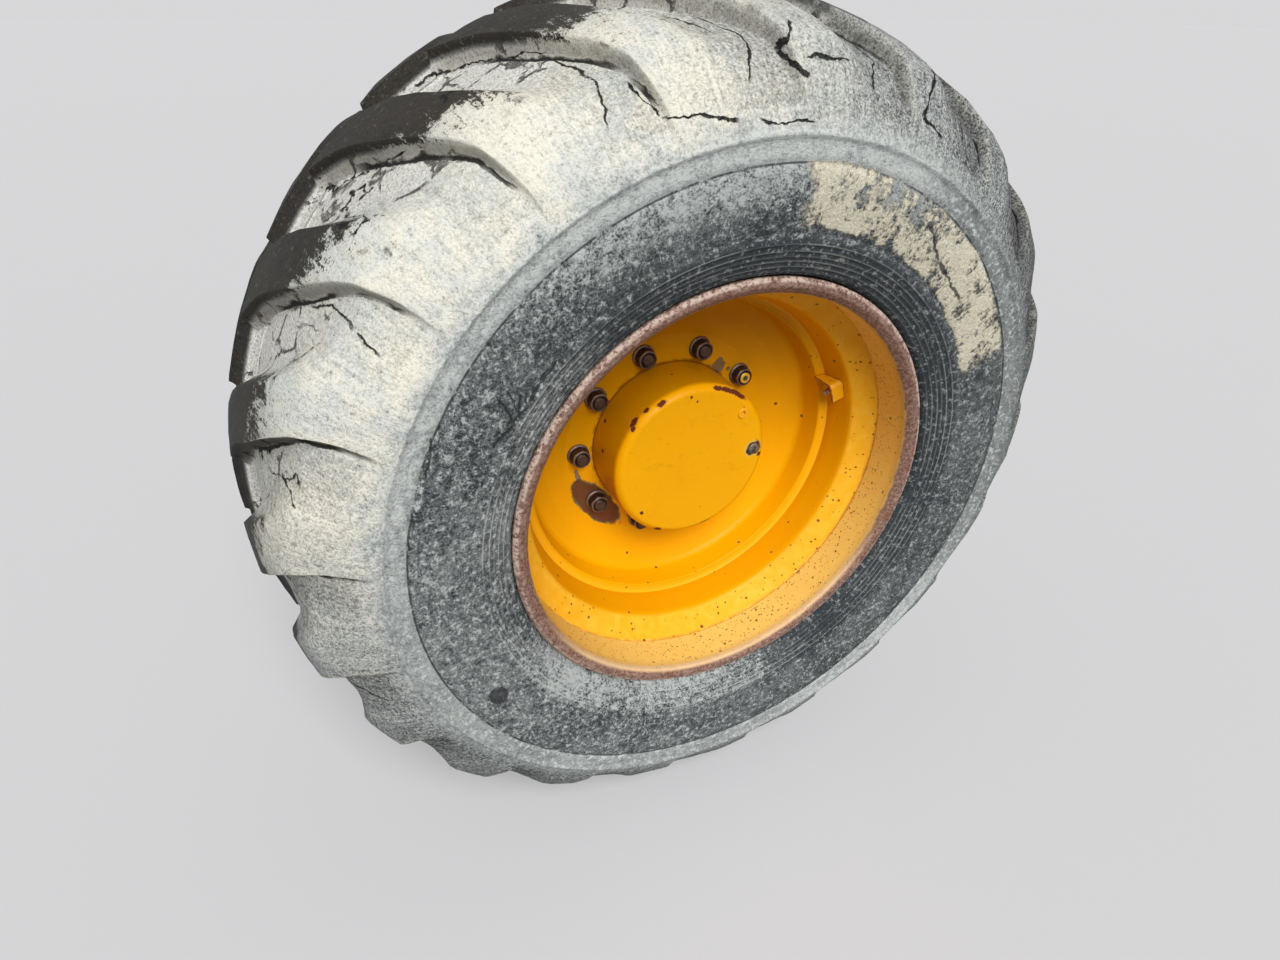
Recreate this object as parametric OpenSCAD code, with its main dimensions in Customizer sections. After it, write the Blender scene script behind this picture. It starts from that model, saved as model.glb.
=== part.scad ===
// Dump truck wheel on its axle end: wide lugged tyre, steel rim, dished disc, hub, cover and half shaft.
// Millimetres, +Z up, +X along travel, +Y towards the vehicle. The origin is the centre of the axle
// arm's inner flange face. Places along the axle are counted inwards from the rim's outer flange.

/* [Tyre] */
// Diameter over the tyre's lugs
tyre_d = 1350; // [1320:5:1380]
// Width over the tyre's sidewalls
tyre_w = 600; // [580:5:620]
// Lugs on each half of the tread
lugs = 21; // [18:1:24]
// Depth of the tread at the crown
tread_depth = 29; // [22:1:36]
// Angle that a lug sweeps from the sidewall to the crown, in degrees
lug_sweep = 14.5; // [8:0.5:20]
// Clock angle of the first lug's sharp edge, in degrees
lug_clock = 1.5; // [0:0.5:17]
// Height of the low centre rib below the lugs
rib_drop = 9; // [4:1:20]
// Rubber and cords under the tread
casing_t = 32; // [24:1:40]
// Thickness of the sidewall
side_t = 25; // [20:1:32]
// Width of a bead on its seat
bead_w = 52; // [44:1:56]

/* [Rim and disc] */
// Radius of the rim's bead seats
seat_r = 336.5; // [330:0.5:343]
// Width over both rim flanges
rim_w = 538; // [530:2:550]
// Rise of a rim flange above the bead seat
flange_rise = 12; // [10:0.5:16]
// Thickness of a rolled rim flange
lip_t = 15; // [12:1:18]
// Depth of the drop well below the bead seats
well_depth = 42.5; // [38:0.5:48]
// Wall of the rim
rim_t = 10; // [8:0.5:12]
// Set of the disc's bolting face behind the outer flange
disc_set = 238; // [220:2:250]
// Height of the dish from the bolting face to the disc's edge
dish_h = 71; // [64:1:76]
// Thickness of the disc
disc_t = 14; // [12:0.5:16]

/* [Wheel bolting] */
// Wheel studs
studs = 10; // [8:1:12]
// Radius of the stud circle
stud_circle_r = 167.5; // [165:0.5:172]
// Land between the stud circle and the disc's bore
bore_land = 27; // [26:0.5:30]
// Radius of a wheel stud
stud_r = 10; // [9:0.5:11]
// Clearance of a stud in the disc, on the radius
stud_gap = 2; // [1:0.5:3]
// Width across the flats of a wheel nut
nut_flats = 30; // [27:1:32]
// Height of a wheel nut
nut_h = 16; // [14:1:20]
// Height of the conical washer under a nut
washer_t = 5; // [4:0.5:7]
// Clock angle of the first stud, in degrees
stud_clock = 34.6; // [0:0.1:36]

/* [Hub and spindle] */
// Radius of the spindle's bearing land
spindle_r = 65; // [60:1:70]
// Length of the hub's running bore
bearing_l = 132; // [120:1:140]
// Running clearance, on the radius
run_gap = 0.05; // [0.02:0.01:0.1]
// Clearance between faces that turn past each other
face_gap = 5; // [5:0.5:8]
// Seating clearance of the pilot and the cover, on the radius
seat_gap = 0.2; // [0.1:0.05:0.3]
// Thickness of the hub's flange
hub_flange_t = 24; // [20:1:28]
// Width of the hub's seal
seal_t = 14; // [12:1:16]
// Wall of the hub round the seal
hub_wall = 19; // [16:1:22]
// Width of the slotted ring nut on the spindle
ring_nut_w = 20; // [16:1:24]
// Height of the hub cover
cover_h = 102; // [96:1:108]
// Radius of the cover's rounded edge
cover_edge_r = 13; // [10:0.5:16]
// Thickness of the cover's front
cover_t = 12; // [10:1:16]
// Radius of a cover plug
plug_r = 7.5; // [6:0.5:8]
// Radius of the half shaft
shaft_r = 22; // [20:0.5:24]
// Teeth of the shaft's pinion
pinion_teeth = 17; // [13:1:19]
// Splines at the shaft's inner end
splines = 20; // [16:1:24]
// Length of spline outside the inner flange
spline_out = 42; // [36:1:48]

/* [Axle arm] */
// Radius of the brake housing
housing_r = 172; // [168:1:180]
// Length of the brake housing
housing_l = 75; // [70:1:85]
// Length of the neck with the inner flange
neck_l = 230; // [220:2:250]
// Smallest radius of the neck
neck_r = 98; // [92:1:104]
// Wall of the neck
neck_wall = 26; // [20:1:30]
// Radius of the inner flange
flange_r = 160; // [156:1:168]
// Thickness of the inner flange
flange_t = 26; // [22:1:30]
// Bolts on the inner flange
flange_bolts = 12; // [8:1:16]
// Radius of the inner flange's bolt circle
flange_circle_r = 140; // [136:1:144]
// Radius of a flange or pad bolt hole
bolt_hole_r = 9; // [8:0.5:10]
// Bolts that hold the spindle
spindle_bolt_count = 12; // [10:2:14]
// Radius of a spindle bolt
spindle_bolt_r = 8; // [7:0.5:9]
// Height of the chassis pad above the axle line
pad_z = 128; // [124:1:136]
// Thickness of the chassis pad
pad_t = 20; // [16:1:24]
// Hole spacing of the chassis pad along X
pad_x = 120; // [110:2:130]
// Hole spacing of the chassis pad along Y
pad_y = 70; // [60:2:76]
// Distance from the inner flange face to the pad's middle
pad_back = 105; // [100:1:115]
// Radius of the hose port's thread
port_r = 6; // [5:0.5:8]
// Depth of the hose port
port_l = 24; // [18:1:28]
// Thickness of the casting's ribs
rib_t = 12; // [8:1:16]
// Length of the ribs from the inner flange's face
rib_l = 120; // [100:2:130]

/* [Hidden] */
$fn = 96;

RUBBER = [0.16, 0.16, 0.17];
YELLOW = [0.93, 0.66, 0.05];
STEEL = [0.55, 0.55, 0.56];
DARK = [0.22, 0.19, 0.18];
CAST = [0.36, 0.37, 0.38];

// Places along the axle, from the rim's outer flange to the arm's inner flange
mid = rim_w / 2;
cover_y = disc_set + 2;
disc_back = disc_set + disc_t;
flange_back = disc_back + hub_flange_t;
bearing_y = cover_y + 22;
bearing_end = bearing_y + bearing_l;
shoulder_y = bearing_y - face_gap;
land_y = bearing_end + face_gap;
hub_end = bearing_end + seal_t + 2;
spindle_end = shoulder_y - ring_nut_w - 7;
spindle_flange_t = 25;
arm_y = hub_end + 2 * face_gap + spindle_flange_t;
neck_y = arm_y + housing_l;
reach = neck_y + neck_l;

// Radii that follow from one another, from the shaft outwards
seal_land_r = spindle_r + 5;
seal_r = seal_land_r + 15;
hub_end_r = seal_r + hub_wall;
spindle_circle_r = hub_end_r + 28;
spindle_flange_r = spindle_circle_r + 18;
pilot_r = spindle_circle_r - 22;
shaft_way_r = shaft_r + 8;
arm_way_r = shaft_r + 23;
bore_r = stud_circle_r - bore_land;
cover_r = bore_r - seat_gap;
hub_flange_r = stud_circle_r + 20.5;
washer_r = nut_flats / 2 + 4.5;
flange_lip_r = seat_r + flange_rise;
well_out_r = seat_r - well_depth;
well_r = well_out_r - rim_t;

stud_list = [for (i = [0:studs - 1]) stud_clock + i * 360 / studs];
spindle_bolt_list = [for (i = [0:spindle_bolt_count - 1]) (i + 0.5) * 360 / spindle_bolt_count];

// Rounds the corners of an outline. Each point is [x, y] or [x, y, corner radius].
function unit(v) = v / norm(v);
function eased(p) = [for (i = [0:len(p) - 1])
    let (n = len(p), f = p[i][2], b = [p[i][0], p[i][1]],
        u = unit([p[(i + n - 1) % n][0], p[(i + n - 1) % n][1]] - b),
        v = unit([p[(i + 1) % n][0], p[(i + 1) % n][1]] - b),
        half = acos(u * v) / 2, c = b + unit(u + v) * (is_undef(f) ? 0 : f) / sin(half))
    each is_undef(f) ? [b] : [for (k = [0:3])
        let (s = b + u * f / tan(half) - c, e = b + v * f / tan(half) - c)
        c + f * unit(s * (3 - k) + e * k)]];

// Turns an outline of [radius, place along the axle] about the axle line.
module turned(profile) {
    translate([0, -reach, 0]) rotate([-90, 0, 0]) rotate_extrude() polygon(profile);
}

// Turns a small outline about its own +Y line.
module spun(profile) {
    rotate([-90, 0, 0]) rotate_extrude() polygon(profile);
}

// Places children drawn at +X on a clock angle, at a place along the axle.
module at_clock(angle, y = 0) {
    rotate([0, -angle, 0]) translate([0, y - reach, 0]) children();
}

// A rod along +Y from its own origin.
module rod(r, length) {
    rotate([-90, 0, 0]) cylinder(r = r, h = length);
}

/* Tyre. Rows of the skin run from the sidewall to the crown. Each is [share of the section's height,
   share of its half width, share of the tread's depth, share of the lug's sweep, phases of the four columns].
   The columns are the lug's sharp edge, the foot below it, the start of the ramp and the ramp's top. */
SKIN = [
    [0.350, 0.006, 0, 0, [0, 0.20, 0.45, 0.72]],
    [0.535, 0, 0, 0, [0, 0.06, 0.24, 0.66]],
    [0.601, 0.023, 0.10, 0, [0, 0.04, 0.16, 0.66]],
    [0.666, 0.055, 0.21, 0, [0, 0.04, 0.16, 0.65]],
    [0.728, 0.103, 0.35, 0.02, [0, 0.04, 0.18, 0.64]],
    [0.790, 0.152, 0.52, 0.06, [0, 0.04, 0.22, 0.63]],
    [0.843, 0.210, 0.66, 0.11, [0, 0.045, 0.28, 0.62]],
    [0.900, 0.337, 0.80, 0.26, [0, 0.045, 0.34, 0.61]],
    [0.950, 0.537, 0.90, 0.49, [0, 0.045, 0.40, 0.60]],
    [0.985, 0.770, 0.97, 0.72, [0, 0.045, 0.45, 0.59]],
    [1, 0.960, 1, 1, [0, 0.05, 0.48, 0.58]]
];
crest_r = tyre_d / 2;
pitch = 360 / lugs;
low_n = 2 * lugs;
lug_n = 4 * lugs;
side_y = mid - tyre_w / 2;
bead_r = seat_r / cos(180 / low_n) + run_gap;
heel_r = flange_lip_r / cos(180 / low_n) + 2;

function high(share) = seat_r + share * (crest_r - seat_r);
function across(share) = side_y + share * (mid - side_y);
function flip(y) = rim_w - y;

// The bead and lower sidewall, and the liner inside the tyre, as [radius, place along the axle]
LOW = [
    [bead_r, bead_w + lip_t + 7],
    [bead_r, lip_t + 7.5],
    [flange_lip_r - 2, lip_t + 0.2],
    [heel_r + 2, lip_t - 6],
    [heel_r + 5, 0],
    [high(0.115), across(0.068)],
    [high(0.190), across(0.040)]
];
LINER = [
    [bead_r + 16, bead_w + lip_t - 6],
    [high(0.306), side_y + side_t + 2],
    [high(0.542), side_y + side_t + 14],
    [crest_r - tread_depth - casing_t - 28, side_y + side_t + 81],
    [crest_r - tread_depth - casing_t - 1, side_y + side_t + 178]
];

function spot(r, y, a) = [r * cos(a), y - reach, r * sin(a)];
function ring(p, n) = [for (j = [0:n - 1]) spot(p[0], p[1], lug_clock + j * 360 / n)];

// Outward direction of the crest line at row i, as [radius, place along the axle]
function crest_out(i) =
    let (a = SKIN[max(i - 1, 0)], b = SKIN[min(i + 1, len(SKIN) - 1)],
        t = [high(b[0]) - high(a[0]), across(b[1]) - across(a[1])]) [t[1], -t[0]] / norm(t);

// One row of the lugged skin. Side 0 is the outer half and side 1 the inner half, half a pitch on.
function lug_row(i, side) =
    let (row = SKIN[i], out = crest_out(i), depth = row[2] * tread_depth, p = row[4],
        phase = side == 0 ? p : [p[2] - 0.5, p[3] - 0.5, 0.5, p[1] + 0.5],
        low = side == 0 ? [0, 1, 1, 0] : [1, 0, 0, 1])
    [for (j = [0:lug_n - 1])
        let (k = j % 4, a = lug_clock + (floor(j / 4) + phase[k]) * pitch + row[3] * lug_sweep,
            deep = low[k] * depth, y = across(row[1]) - deep * out[1])
        spot(high(row[0]) - deep * out[0], side == 0 ? y : flip(y), a)];

// The low centre rib that joins the two halves
RIB_PHASE = [-0.03, 0.1, 0.47, 0.6];
function rib_row() = [for (j = [0:lug_n - 1])
    spot(crest_r - rib_drop, mid, lug_clock + (floor(j / 4) + RIB_PHASE[j % 4]) * pitch + lug_sweep)];

// Triangles between rows that start at points a and b: both of n points, or one with 2n points
function strip(a, b, n) = [for (j = [0:n - 1]) let (k = (j + 1) % n)
    each [[a + j, b + j, a + k], [a + k, b + j, b + k]]];
function widen(a, b, n) = [for (j = [0:n - 1]) let (k = (j + 1) % n, half = b + 2 * j + 1)
    each [[a + j, b + 2 * j, half], [a + j, half, a + k], [a + k, half, b + 2 * k]]];
function narrow(a, b, n) = [for (j = [0:n - 1]) let (k = (j + 1) % n, half = a + 2 * j + 1)
    each [[a + 2 * j, b + j, half], [half, b + j, b + k], [half, b + k, a + 2 * k]]];

n_low = len(LOW);
n_skin = len(SKIN);
n_liner = len(LINER);
tyre_points = concat(
    [for (p = LOW) each ring(p, low_n)],
    [for (i = [0:n_skin - 1]) each lug_row(i, 0)],
    rib_row(),
    [for (i = [n_skin - 1:-1:0]) each lug_row(i, 1)],
    [for (i = [n_low - 1:-1:0]) each ring([LOW[i][0], flip(LOW[i][1])], low_n)],
    [for (p = LINER) each ring([p[0], flip(p[1])], low_n)],
    [for (i = [n_liner - 1:-1:0]) each ring(LINER[i], low_n)]);

skin_at = n_low * low_n;
inner_low_at = skin_at + (2 * n_skin + 1) * lug_n;
last_at = inner_low_at + (n_low + 2 * n_liner - 1) * low_n;
tyre_faces = concat(
    [for (i = [0:n_low - 2]) each strip(i * low_n, (i + 1) * low_n, low_n)],
    widen(skin_at - low_n, skin_at, low_n),
    [for (i = [0:2 * n_skin - 1]) each strip(skin_at + i * lug_n, skin_at + (i + 1) * lug_n, lug_n)],
    narrow(inner_low_at - lug_n, inner_low_at, low_n),
    [for (i = [0:n_low + 2 * n_liner - 2])
        each strip(inner_low_at + i * low_n, inner_low_at + (i + 1) * low_n, low_n)],
    strip(last_at, 0, low_n));

module tyre() {
    color(RUBBER) polyhedron(tyre_points, tyre_faces);
}

/* Rim and disc */
seat_w = bead_w + 9;                       // from the flange's root to the well's slope
slope_y = lip_t + 6 + seat_w;              // start of the slope into the well
edge_y = disc_set - dish_h;                // the disc's edge, welded into the well
weld = 6.5;
module rim() {
    color(YELLOW) difference() {
        turned(eased([
            [flange_lip_r - 3.5, 0, 3], [flange_lip_r, 4, 3], [flange_lip_r, lip_t - 5, 3],
            [seat_r + 2, lip_t + 1, 4], [seat_r, lip_t + 6], [seat_r, slope_y, 6],
            [well_out_r + rim_t, slope_y + 28, 10], [well_out_r, edge_y - 7, 10],
            [well_out_r, flip(slope_y + 28), 10], [seat_r, flip(slope_y), 6], [seat_r, flip(lip_t + 6)],
            [seat_r + 2, flip(lip_t + 1), 4], [flange_lip_r, flip(lip_t - 5), 3], [flange_lip_r, flip(4), 3],
            [flange_lip_r - 3.5, flip(0), 3], [seat_r - 1, flip(0), 7], [seat_r - rim_t, flip(lip_t - 4), 7],
            [seat_r - rim_t, flip(slope_y + 4), 6], [well_r, flip(slope_y + 32), 10],
            [well_r, edge_y - weld], [well_r + rim_t, slope_y + 25, 12],
            [seat_r - 7.7, slope_y - 2.5, 2], [seat_r - rim_t - 0.5, slope_y - 6, 2],
            [seat_r - rim_t - 2, lip_t - 3, 7], [seat_r - 1, 0, 7]]));
        at_clock(valve_clock, valve_y) translate([well_r - 15, 0, 0])
            rotate([0, 90, 0]) cylinder(r = stem_r + seat_gap, h = 40);
    }
}

flat_r = stud_circle_r + washer_r + 4;     // end of the disc's flat face
function dish(share) = flat_r + share * (well_r - 14 - flat_r);
module wheel_disc() {
    color(YELLOW) difference() {
        turned(eased([
            [well_r - disc_t, edge_y, 2], [well_r - weld, edge_y], [well_r, edge_y - weld],
            [well_r, disc_set - 36, 8], [dish(0.79), disc_set - 4], [dish(0.46), disc_back - 6],
            [flat_r + 4, disc_back, 12], [bore_r, disc_back, 2], [bore_r, disc_set, 3],
            [flat_r - 1, disc_set, 14], [dish(0.5), disc_set - 12, 40], [dish(0.92), disc_set - 28, 16]]));
        for (a = stud_list) at_clock(a, disc_set - 5)
            translate([stud_circle_r, 0, 0]) rod(stud_r + stud_gap, disc_t + 10);
    }
}

/* Hub */
module hub() {
    running = spindle_r + run_gap;
    color(CAST) difference() {
        turned(eased([
            [cover_r - 14, cover_y], [cover_r, cover_y, 1], [cover_r, disc_back],
            [hub_flange_r, disc_back, 1], [hub_flange_r, flange_back, 3],
            [stud_circle_r - 20, flange_back, 8], [hub_end_r + 20, flange_back + 60, 40],
            [hub_end_r + 2, bearing_end - 8, 10],
            [hub_end_r, hub_end, 2], [seal_r, hub_end, 1], [seal_r, bearing_end],
            [running, bearing_end], [running, bearing_y],
            [cover_r - 24, bearing_y, 5], [cover_r - 14, bearing_y - 8, 3]]));
        for (a = stud_list) at_clock(a, disc_back - 1)
            translate([stud_circle_r, 0, 0]) rod(stud_r, hub_flange_t + 2);
    }
}

module hub_seal() {
    lip = seal_land_r + run_gap;
    color(DARK) turned([[lip, land_y], [lip + 3, bearing_end], [seal_r, bearing_end],
        [seal_r, bearing_end + seal_t], [lip + 3, bearing_end + seal_t], [lip, bearing_end + seal_t - 3]]);
}

plug_clocks = [0.8, 40.6];
plug_circle_r = cover_r - 25;
cover_front = cover_y - cover_h;
module hub_cover() {
    color(YELLOW) difference() {
        turned(eased([
            [0, cover_front], [cover_r - 1.5, cover_front, cover_edge_r], [cover_r, cover_y],
            [cover_r - 14, cover_y], [cover_r - 14, cover_y - 8, 6], [cover_r - 40, cover_y - 26, 6],
            [cover_r - 40, cover_front + cover_t, 8], [0, cover_front + cover_t]]));
        for (a = plug_clocks) at_clock(a, cover_front - 8)
            translate([plug_circle_r, 0, 0]) rod(plug_r, 32);
    }
}

module cover_plugs() {
    color(STEEL) for (a = plug_clocks) at_clock(a, cover_front - 2.5) translate([plug_circle_r, 0, 0])
        difference() {
            spun([[0, 0], [plug_r + 1, 0], [plug_r + 2, 1], [plug_r + 2, 2.5], [plug_r, 2.5],
                [plug_r, 18], [0, 18]]);
            translate([0, -1, 0]) rotate([-90, 0, 0]) cylinder(r = plug_r * 0.6, h = 6, $fn = 6);
        }
}

stud_end = disc_set - washer_t - nut_h - 2.5;
module wheel_studs() {
    back = flange_back - stud_end;
    color(DARK) for (a = stud_list) at_clock(a, stud_end) translate([stud_circle_r, 0, 0])
        spun([[0, 0], [stud_r - 3, 0], [stud_r, 3], [stud_r, back], [stud_r + 5, back],
            [stud_r + 5, back + 7], [stud_r + 3, back + 9], [0, back + 9]]);
}

module nut_washers() {
    inner = stud_r + seat_gap;
    color(DARK) for (a = stud_list) at_clock(a, disc_set - washer_t) translate([stud_circle_r, 0, 0])
        spun([[inner, 0], [washer_r - 3, 0], [washer_r, washer_t - 2], [washer_r, washer_t],
            [inner, washer_t]]);
}

module wheel_nuts() {
    corner = nut_flats / 2 / cos(30);
    color(DARK) for (i = [0:studs - 1]) at_clock(stud_list[i], disc_set - washer_t - nut_h)
        translate([stud_circle_r, 0, 0]) rotate([0, 17 * i, 0]) intersection() {
            rotate([-90, 0, 0]) difference() {
                cylinder(r = corner, h = nut_h, $fn = 6);
                translate([0, 0, -1]) cylinder(r = stud_r, h = nut_h + 2);
            }
            spun([[0, 0], [nut_flats / 2, 0], [corner + 1, 3], [corner + 1, nut_h], [0, nut_h]]);
        }
}

/* Valve. The stem points at the axle line, under a bent plate that stands on the disc's edge. */
valve_clock = 16.5;
valve_y = edge_y - 24;
stem_r = 8;
module valve_stem() {
    head_r = well_out_r + 12;
    neck = head_r - well_r + 2;
    color(STEEL) at_clock(valve_clock, valve_y) translate([head_r, 0, 0]) rotate([0, -90, 0])
        rotate_extrude() polygon([[0, 0], [stem_r, 0], [stem_r, neck], [5, neck + 2], [5, neck + 10],
            [4, neck + 11], [4, neck + 18], [0, neck + 18]]);
}

guard_t = 4;
guard_drop = 44;
module valve_guard() {
    color(YELLOW) intersection() {
        at_clock(valve_clock + 1, edge_y - guard_drop - 1) translate([well_r - 18, 0, 0]) rotate([0, 90, 0])
            linear_extrude(40) polygon(eased([[-18, 60], [-18, 0, 7], [16, 0, 1], [16, guard_t, 1],
                [guard_t - 18, guard_t, 3], [guard_t - 18, 60]]));
        turned([[well_r - 84, edge_y - 60], [well_r + rim_t, edge_y - 60], [well_r + rim_t, slope_y + 25],
            [well_r, edge_y - weld], [well_r - weld, edge_y], [well_r - 84, edge_y]]);
    }
}

/* Axle end */
module spindle() {
    bush = shaft_r + run_gap;
    color(STEEL) difference() {
        turned(eased([
            [bush, spindle_end], [spindle_r - 10, spindle_end, 2], [spindle_r - 10, shoulder_y],
            [spindle_r, shoulder_y, 1], [spindle_r, land_y], [seal_land_r, land_y, 1],
            [seal_land_r, arm_y - spindle_flange_t, 5], [spindle_flange_r, arm_y - spindle_flange_t, 2],
            [spindle_flange_r, arm_y, 1], [pilot_r, arm_y], [pilot_r, arm_y + 10, 1], [bush, arm_y + 10],
            [bush, arm_y - 15], [shaft_way_r, arm_y - 23], [shaft_way_r, shoulder_y + 6],
            [bush, shoulder_y - 2]]));
        for (a = spindle_bolt_list) at_clock(a, arm_y - spindle_flange_t - 1)
            translate([spindle_circle_r, 0, 0]) rod(spindle_bolt_r, spindle_flange_t + 2);
    }
}

bolt_grip = 30;
module spindle_bolts() {
    head = 1.7 * spindle_bolt_r;
    color(DARK) for (a = spindle_bolt_list) at_clock(a, arm_y - spindle_flange_t)
        translate([spindle_circle_r, 0, 0]) {
            translate([0, -10, 0]) rotate([-90, 0, 0]) cylinder(r = head, h = 10, $fn = 6);
            rod(spindle_bolt_r, spindle_flange_t + bolt_grip);
        }
}

module spindle_nut() {
    inner = spindle_r - 10;
    outer = spindle_r + 13;
    front = shoulder_y - ring_nut_w;
    color(STEEL) difference() {
        turned(eased([[inner, front, 1], [outer, front, 3], [outer, shoulder_y], [inner, shoulder_y]]));
        for (i = [0:5]) at_clock(i * 60, front - 1) translate([outer - 7, 0, -5])
            cube([10, ring_nut_w + 2, 10]);
    }
}

// The pad's plate or web, as a rounded block centred on the arm at the pad's place
module pad_block(x, y, z0, z1) {
    translate([0, -pad_back, z0]) linear_extrude(z1 - z0)
        polygon(eased([[-x, -y, 10], [x, -y, 10], [x, y, 10], [-x, y, 10]]));
}

RIB_CLOCKS = [-15, 15, 165, 195, 255, 285];
port_place = [-neck_r - 34, -pad_back - 55, 0];
module axle_arm() {
    way = neck_r - neck_wall;
    color(CAST) difference() {
        union() {
            turned(eased([
                [pilot_r, arm_y], [housing_r - 1, arm_y, 5], [housing_r, neck_y - 6, 12],
                [neck_r + 34, neck_y + 14, 18], [neck_r + 14, neck_y + 52, 30], [neck_r, reach - 64, 30],
                [neck_r + 4, reach - flange_t, 16], [flange_r, reach - flange_t, 3], [flange_r, reach, 3],
                [arm_way_r, reach, 2], [arm_way_r, reach - 12], [way, reach - 40, 8],
                [way + 12, neck_y + 40, 20], [pilot_r, arm_y + 50, 8]]));
            pad_block(pad_x / 2 + 22, pad_y / 2 + 20, pad_z - pad_t, pad_z);
            pad_block(pad_x / 2 - 26, pad_y / 2 + 20, way, pad_z - pad_t / 2);
            translate(port_place) rotate([0, 90, 0]) cylinder(r = port_r + 10, h = 44);
            for (a = RIB_CLOCKS) at_clock(a) translate([0, 0, -rib_t / 2]) linear_extrude(rib_t)
                polygon([[neck_r - 6, reach - rib_l], [neck_r + 5, reach - rib_l],
                    [flange_r - 8, reach - flange_t - 6], [flange_r - 8, reach - 8],
                    [neck_r - 6, reach - 8]]);
        }
        for (a = spindle_bolt_list) at_clock(a, arm_y - 1)
            translate([spindle_circle_r, 0, 0]) rod(spindle_bolt_r, bolt_grip + 1);
        for (i = [0:flange_bolts - 1]) at_clock(i * 360 / flange_bolts, reach - flange_t - 4)
            translate([flange_circle_r, 0, 0]) rod(bolt_hole_r, flange_t + 8);
        for (x = [-1, 1], y = [-1, 1]) translate([x * pad_x / 2, y * pad_y / 2 - pad_back, pad_z - pad_t - 4])
            cylinder(r = bolt_hole_r, h = pad_t + 8);
        translate(port_place - [8, 0, 0]) rotate([0, 90, 0]) cylinder(r = port_r, h = port_l + 8);
    }
}

/* Half shaft */
function toothed(teeth, root, tip) = [
    for (i = [0:teeth - 1], q = [[root, 0], [root, 0.4], [tip, 0.55], [tip, 0.85]])
        let (a = (i + q[1]) * 360 / teeth) q[0] * [cos(a), sin(a)]];

module half_shaft() {
    tip_y = spindle_end - 46;
    pinion_w = 36;
    color(STEEL) translate([0, tip_y - reach, 0]) rotate([-90, 0, 0]) {
        cylinder(r = shaft_r, h = reach - tip_y);
        translate([0, 0, 2]) linear_extrude(pinion_w)
            polygon(toothed(pinion_teeth, shaft_r + 7, shaft_r + 14));
        translate([0, 0, reach - tip_y - 6]) linear_extrude(spline_out + 6)
            polygon(toothed(splines, shaft_r - 2, shaft_r + 1));
    }
}

axle_arm();
spindle();
spindle_bolts();
spindle_nut();
half_shaft();
tyre();
rim();
wheel_disc();
hub();
hub_seal();
hub_cover();
cover_plugs();
wheel_studs();
nut_washers();
wheel_nuts();
valve_stem();
valve_guard();
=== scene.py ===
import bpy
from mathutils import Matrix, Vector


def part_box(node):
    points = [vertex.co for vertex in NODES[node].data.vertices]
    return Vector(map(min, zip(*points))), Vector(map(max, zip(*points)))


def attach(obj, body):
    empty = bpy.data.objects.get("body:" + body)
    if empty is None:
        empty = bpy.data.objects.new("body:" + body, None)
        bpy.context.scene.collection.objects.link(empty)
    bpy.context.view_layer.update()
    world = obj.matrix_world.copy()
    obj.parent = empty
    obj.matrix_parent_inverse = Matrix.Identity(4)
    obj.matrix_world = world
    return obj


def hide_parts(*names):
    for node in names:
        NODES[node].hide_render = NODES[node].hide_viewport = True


bl_info = {
    "name": "Dump Truck Wheel",
    "version": (1, 0, 0),
    "blender": (4, 5, 0),
    "location": "3D View > Sidebar > Wheel",
    "description": "Dresses the packed dump truck wheel and its axle end with detailed meshes and worn finishes",
    "category": "Add Mesh",
}

import math

import bmesh
import bpy
import numpy as np
from mathutils import Matrix, Vector

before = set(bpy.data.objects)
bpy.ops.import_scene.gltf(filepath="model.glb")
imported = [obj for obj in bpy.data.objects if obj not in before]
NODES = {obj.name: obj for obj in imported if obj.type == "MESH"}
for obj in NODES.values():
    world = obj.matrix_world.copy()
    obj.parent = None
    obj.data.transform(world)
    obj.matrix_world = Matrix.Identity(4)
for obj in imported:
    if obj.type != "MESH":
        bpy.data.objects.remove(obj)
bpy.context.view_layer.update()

# How far the dressed crown stays inside the solid's, and how far the rim's flange stands over the bead seat
CROWN_GAP = 0.0001
FLANGE_RISE = 0.012
# Sizes and places that come from the frame
RIM_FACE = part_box("rim")[0].y
RIM_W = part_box("rim")[1].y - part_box("rim")[0].y
TYRE_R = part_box("tyre")[1].x - CROWN_GAP
TYRE_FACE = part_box("tyre")[0].y
TYRE_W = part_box("tyre")[1].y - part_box("tyre")[0].y
FLANGE_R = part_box("rim")[1].x
SEAT_R = FLANGE_R - FLANGE_RISE
DISC_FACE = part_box("nut_washers")[1].y
COVER_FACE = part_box("hub_cover")[0].y
STUD_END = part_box("wheel_studs")[0].y

# Points closer than this are one point, and edges sharper than this angle are worn or rounded
MERGE = 0.00002
SHARP = math.radians(50)


def shade(red, green, blue):
    """A colour written as 0 to 255 display values, in Blender's linear values."""
    return tuple(
        (c / 255 / 12.92) if c <= 10 else ((c / 255 + 0.055) / 1.055) ** 2.4
        for c in (red, green, blue)
    )


# Sizes and colours that a user would change

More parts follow.
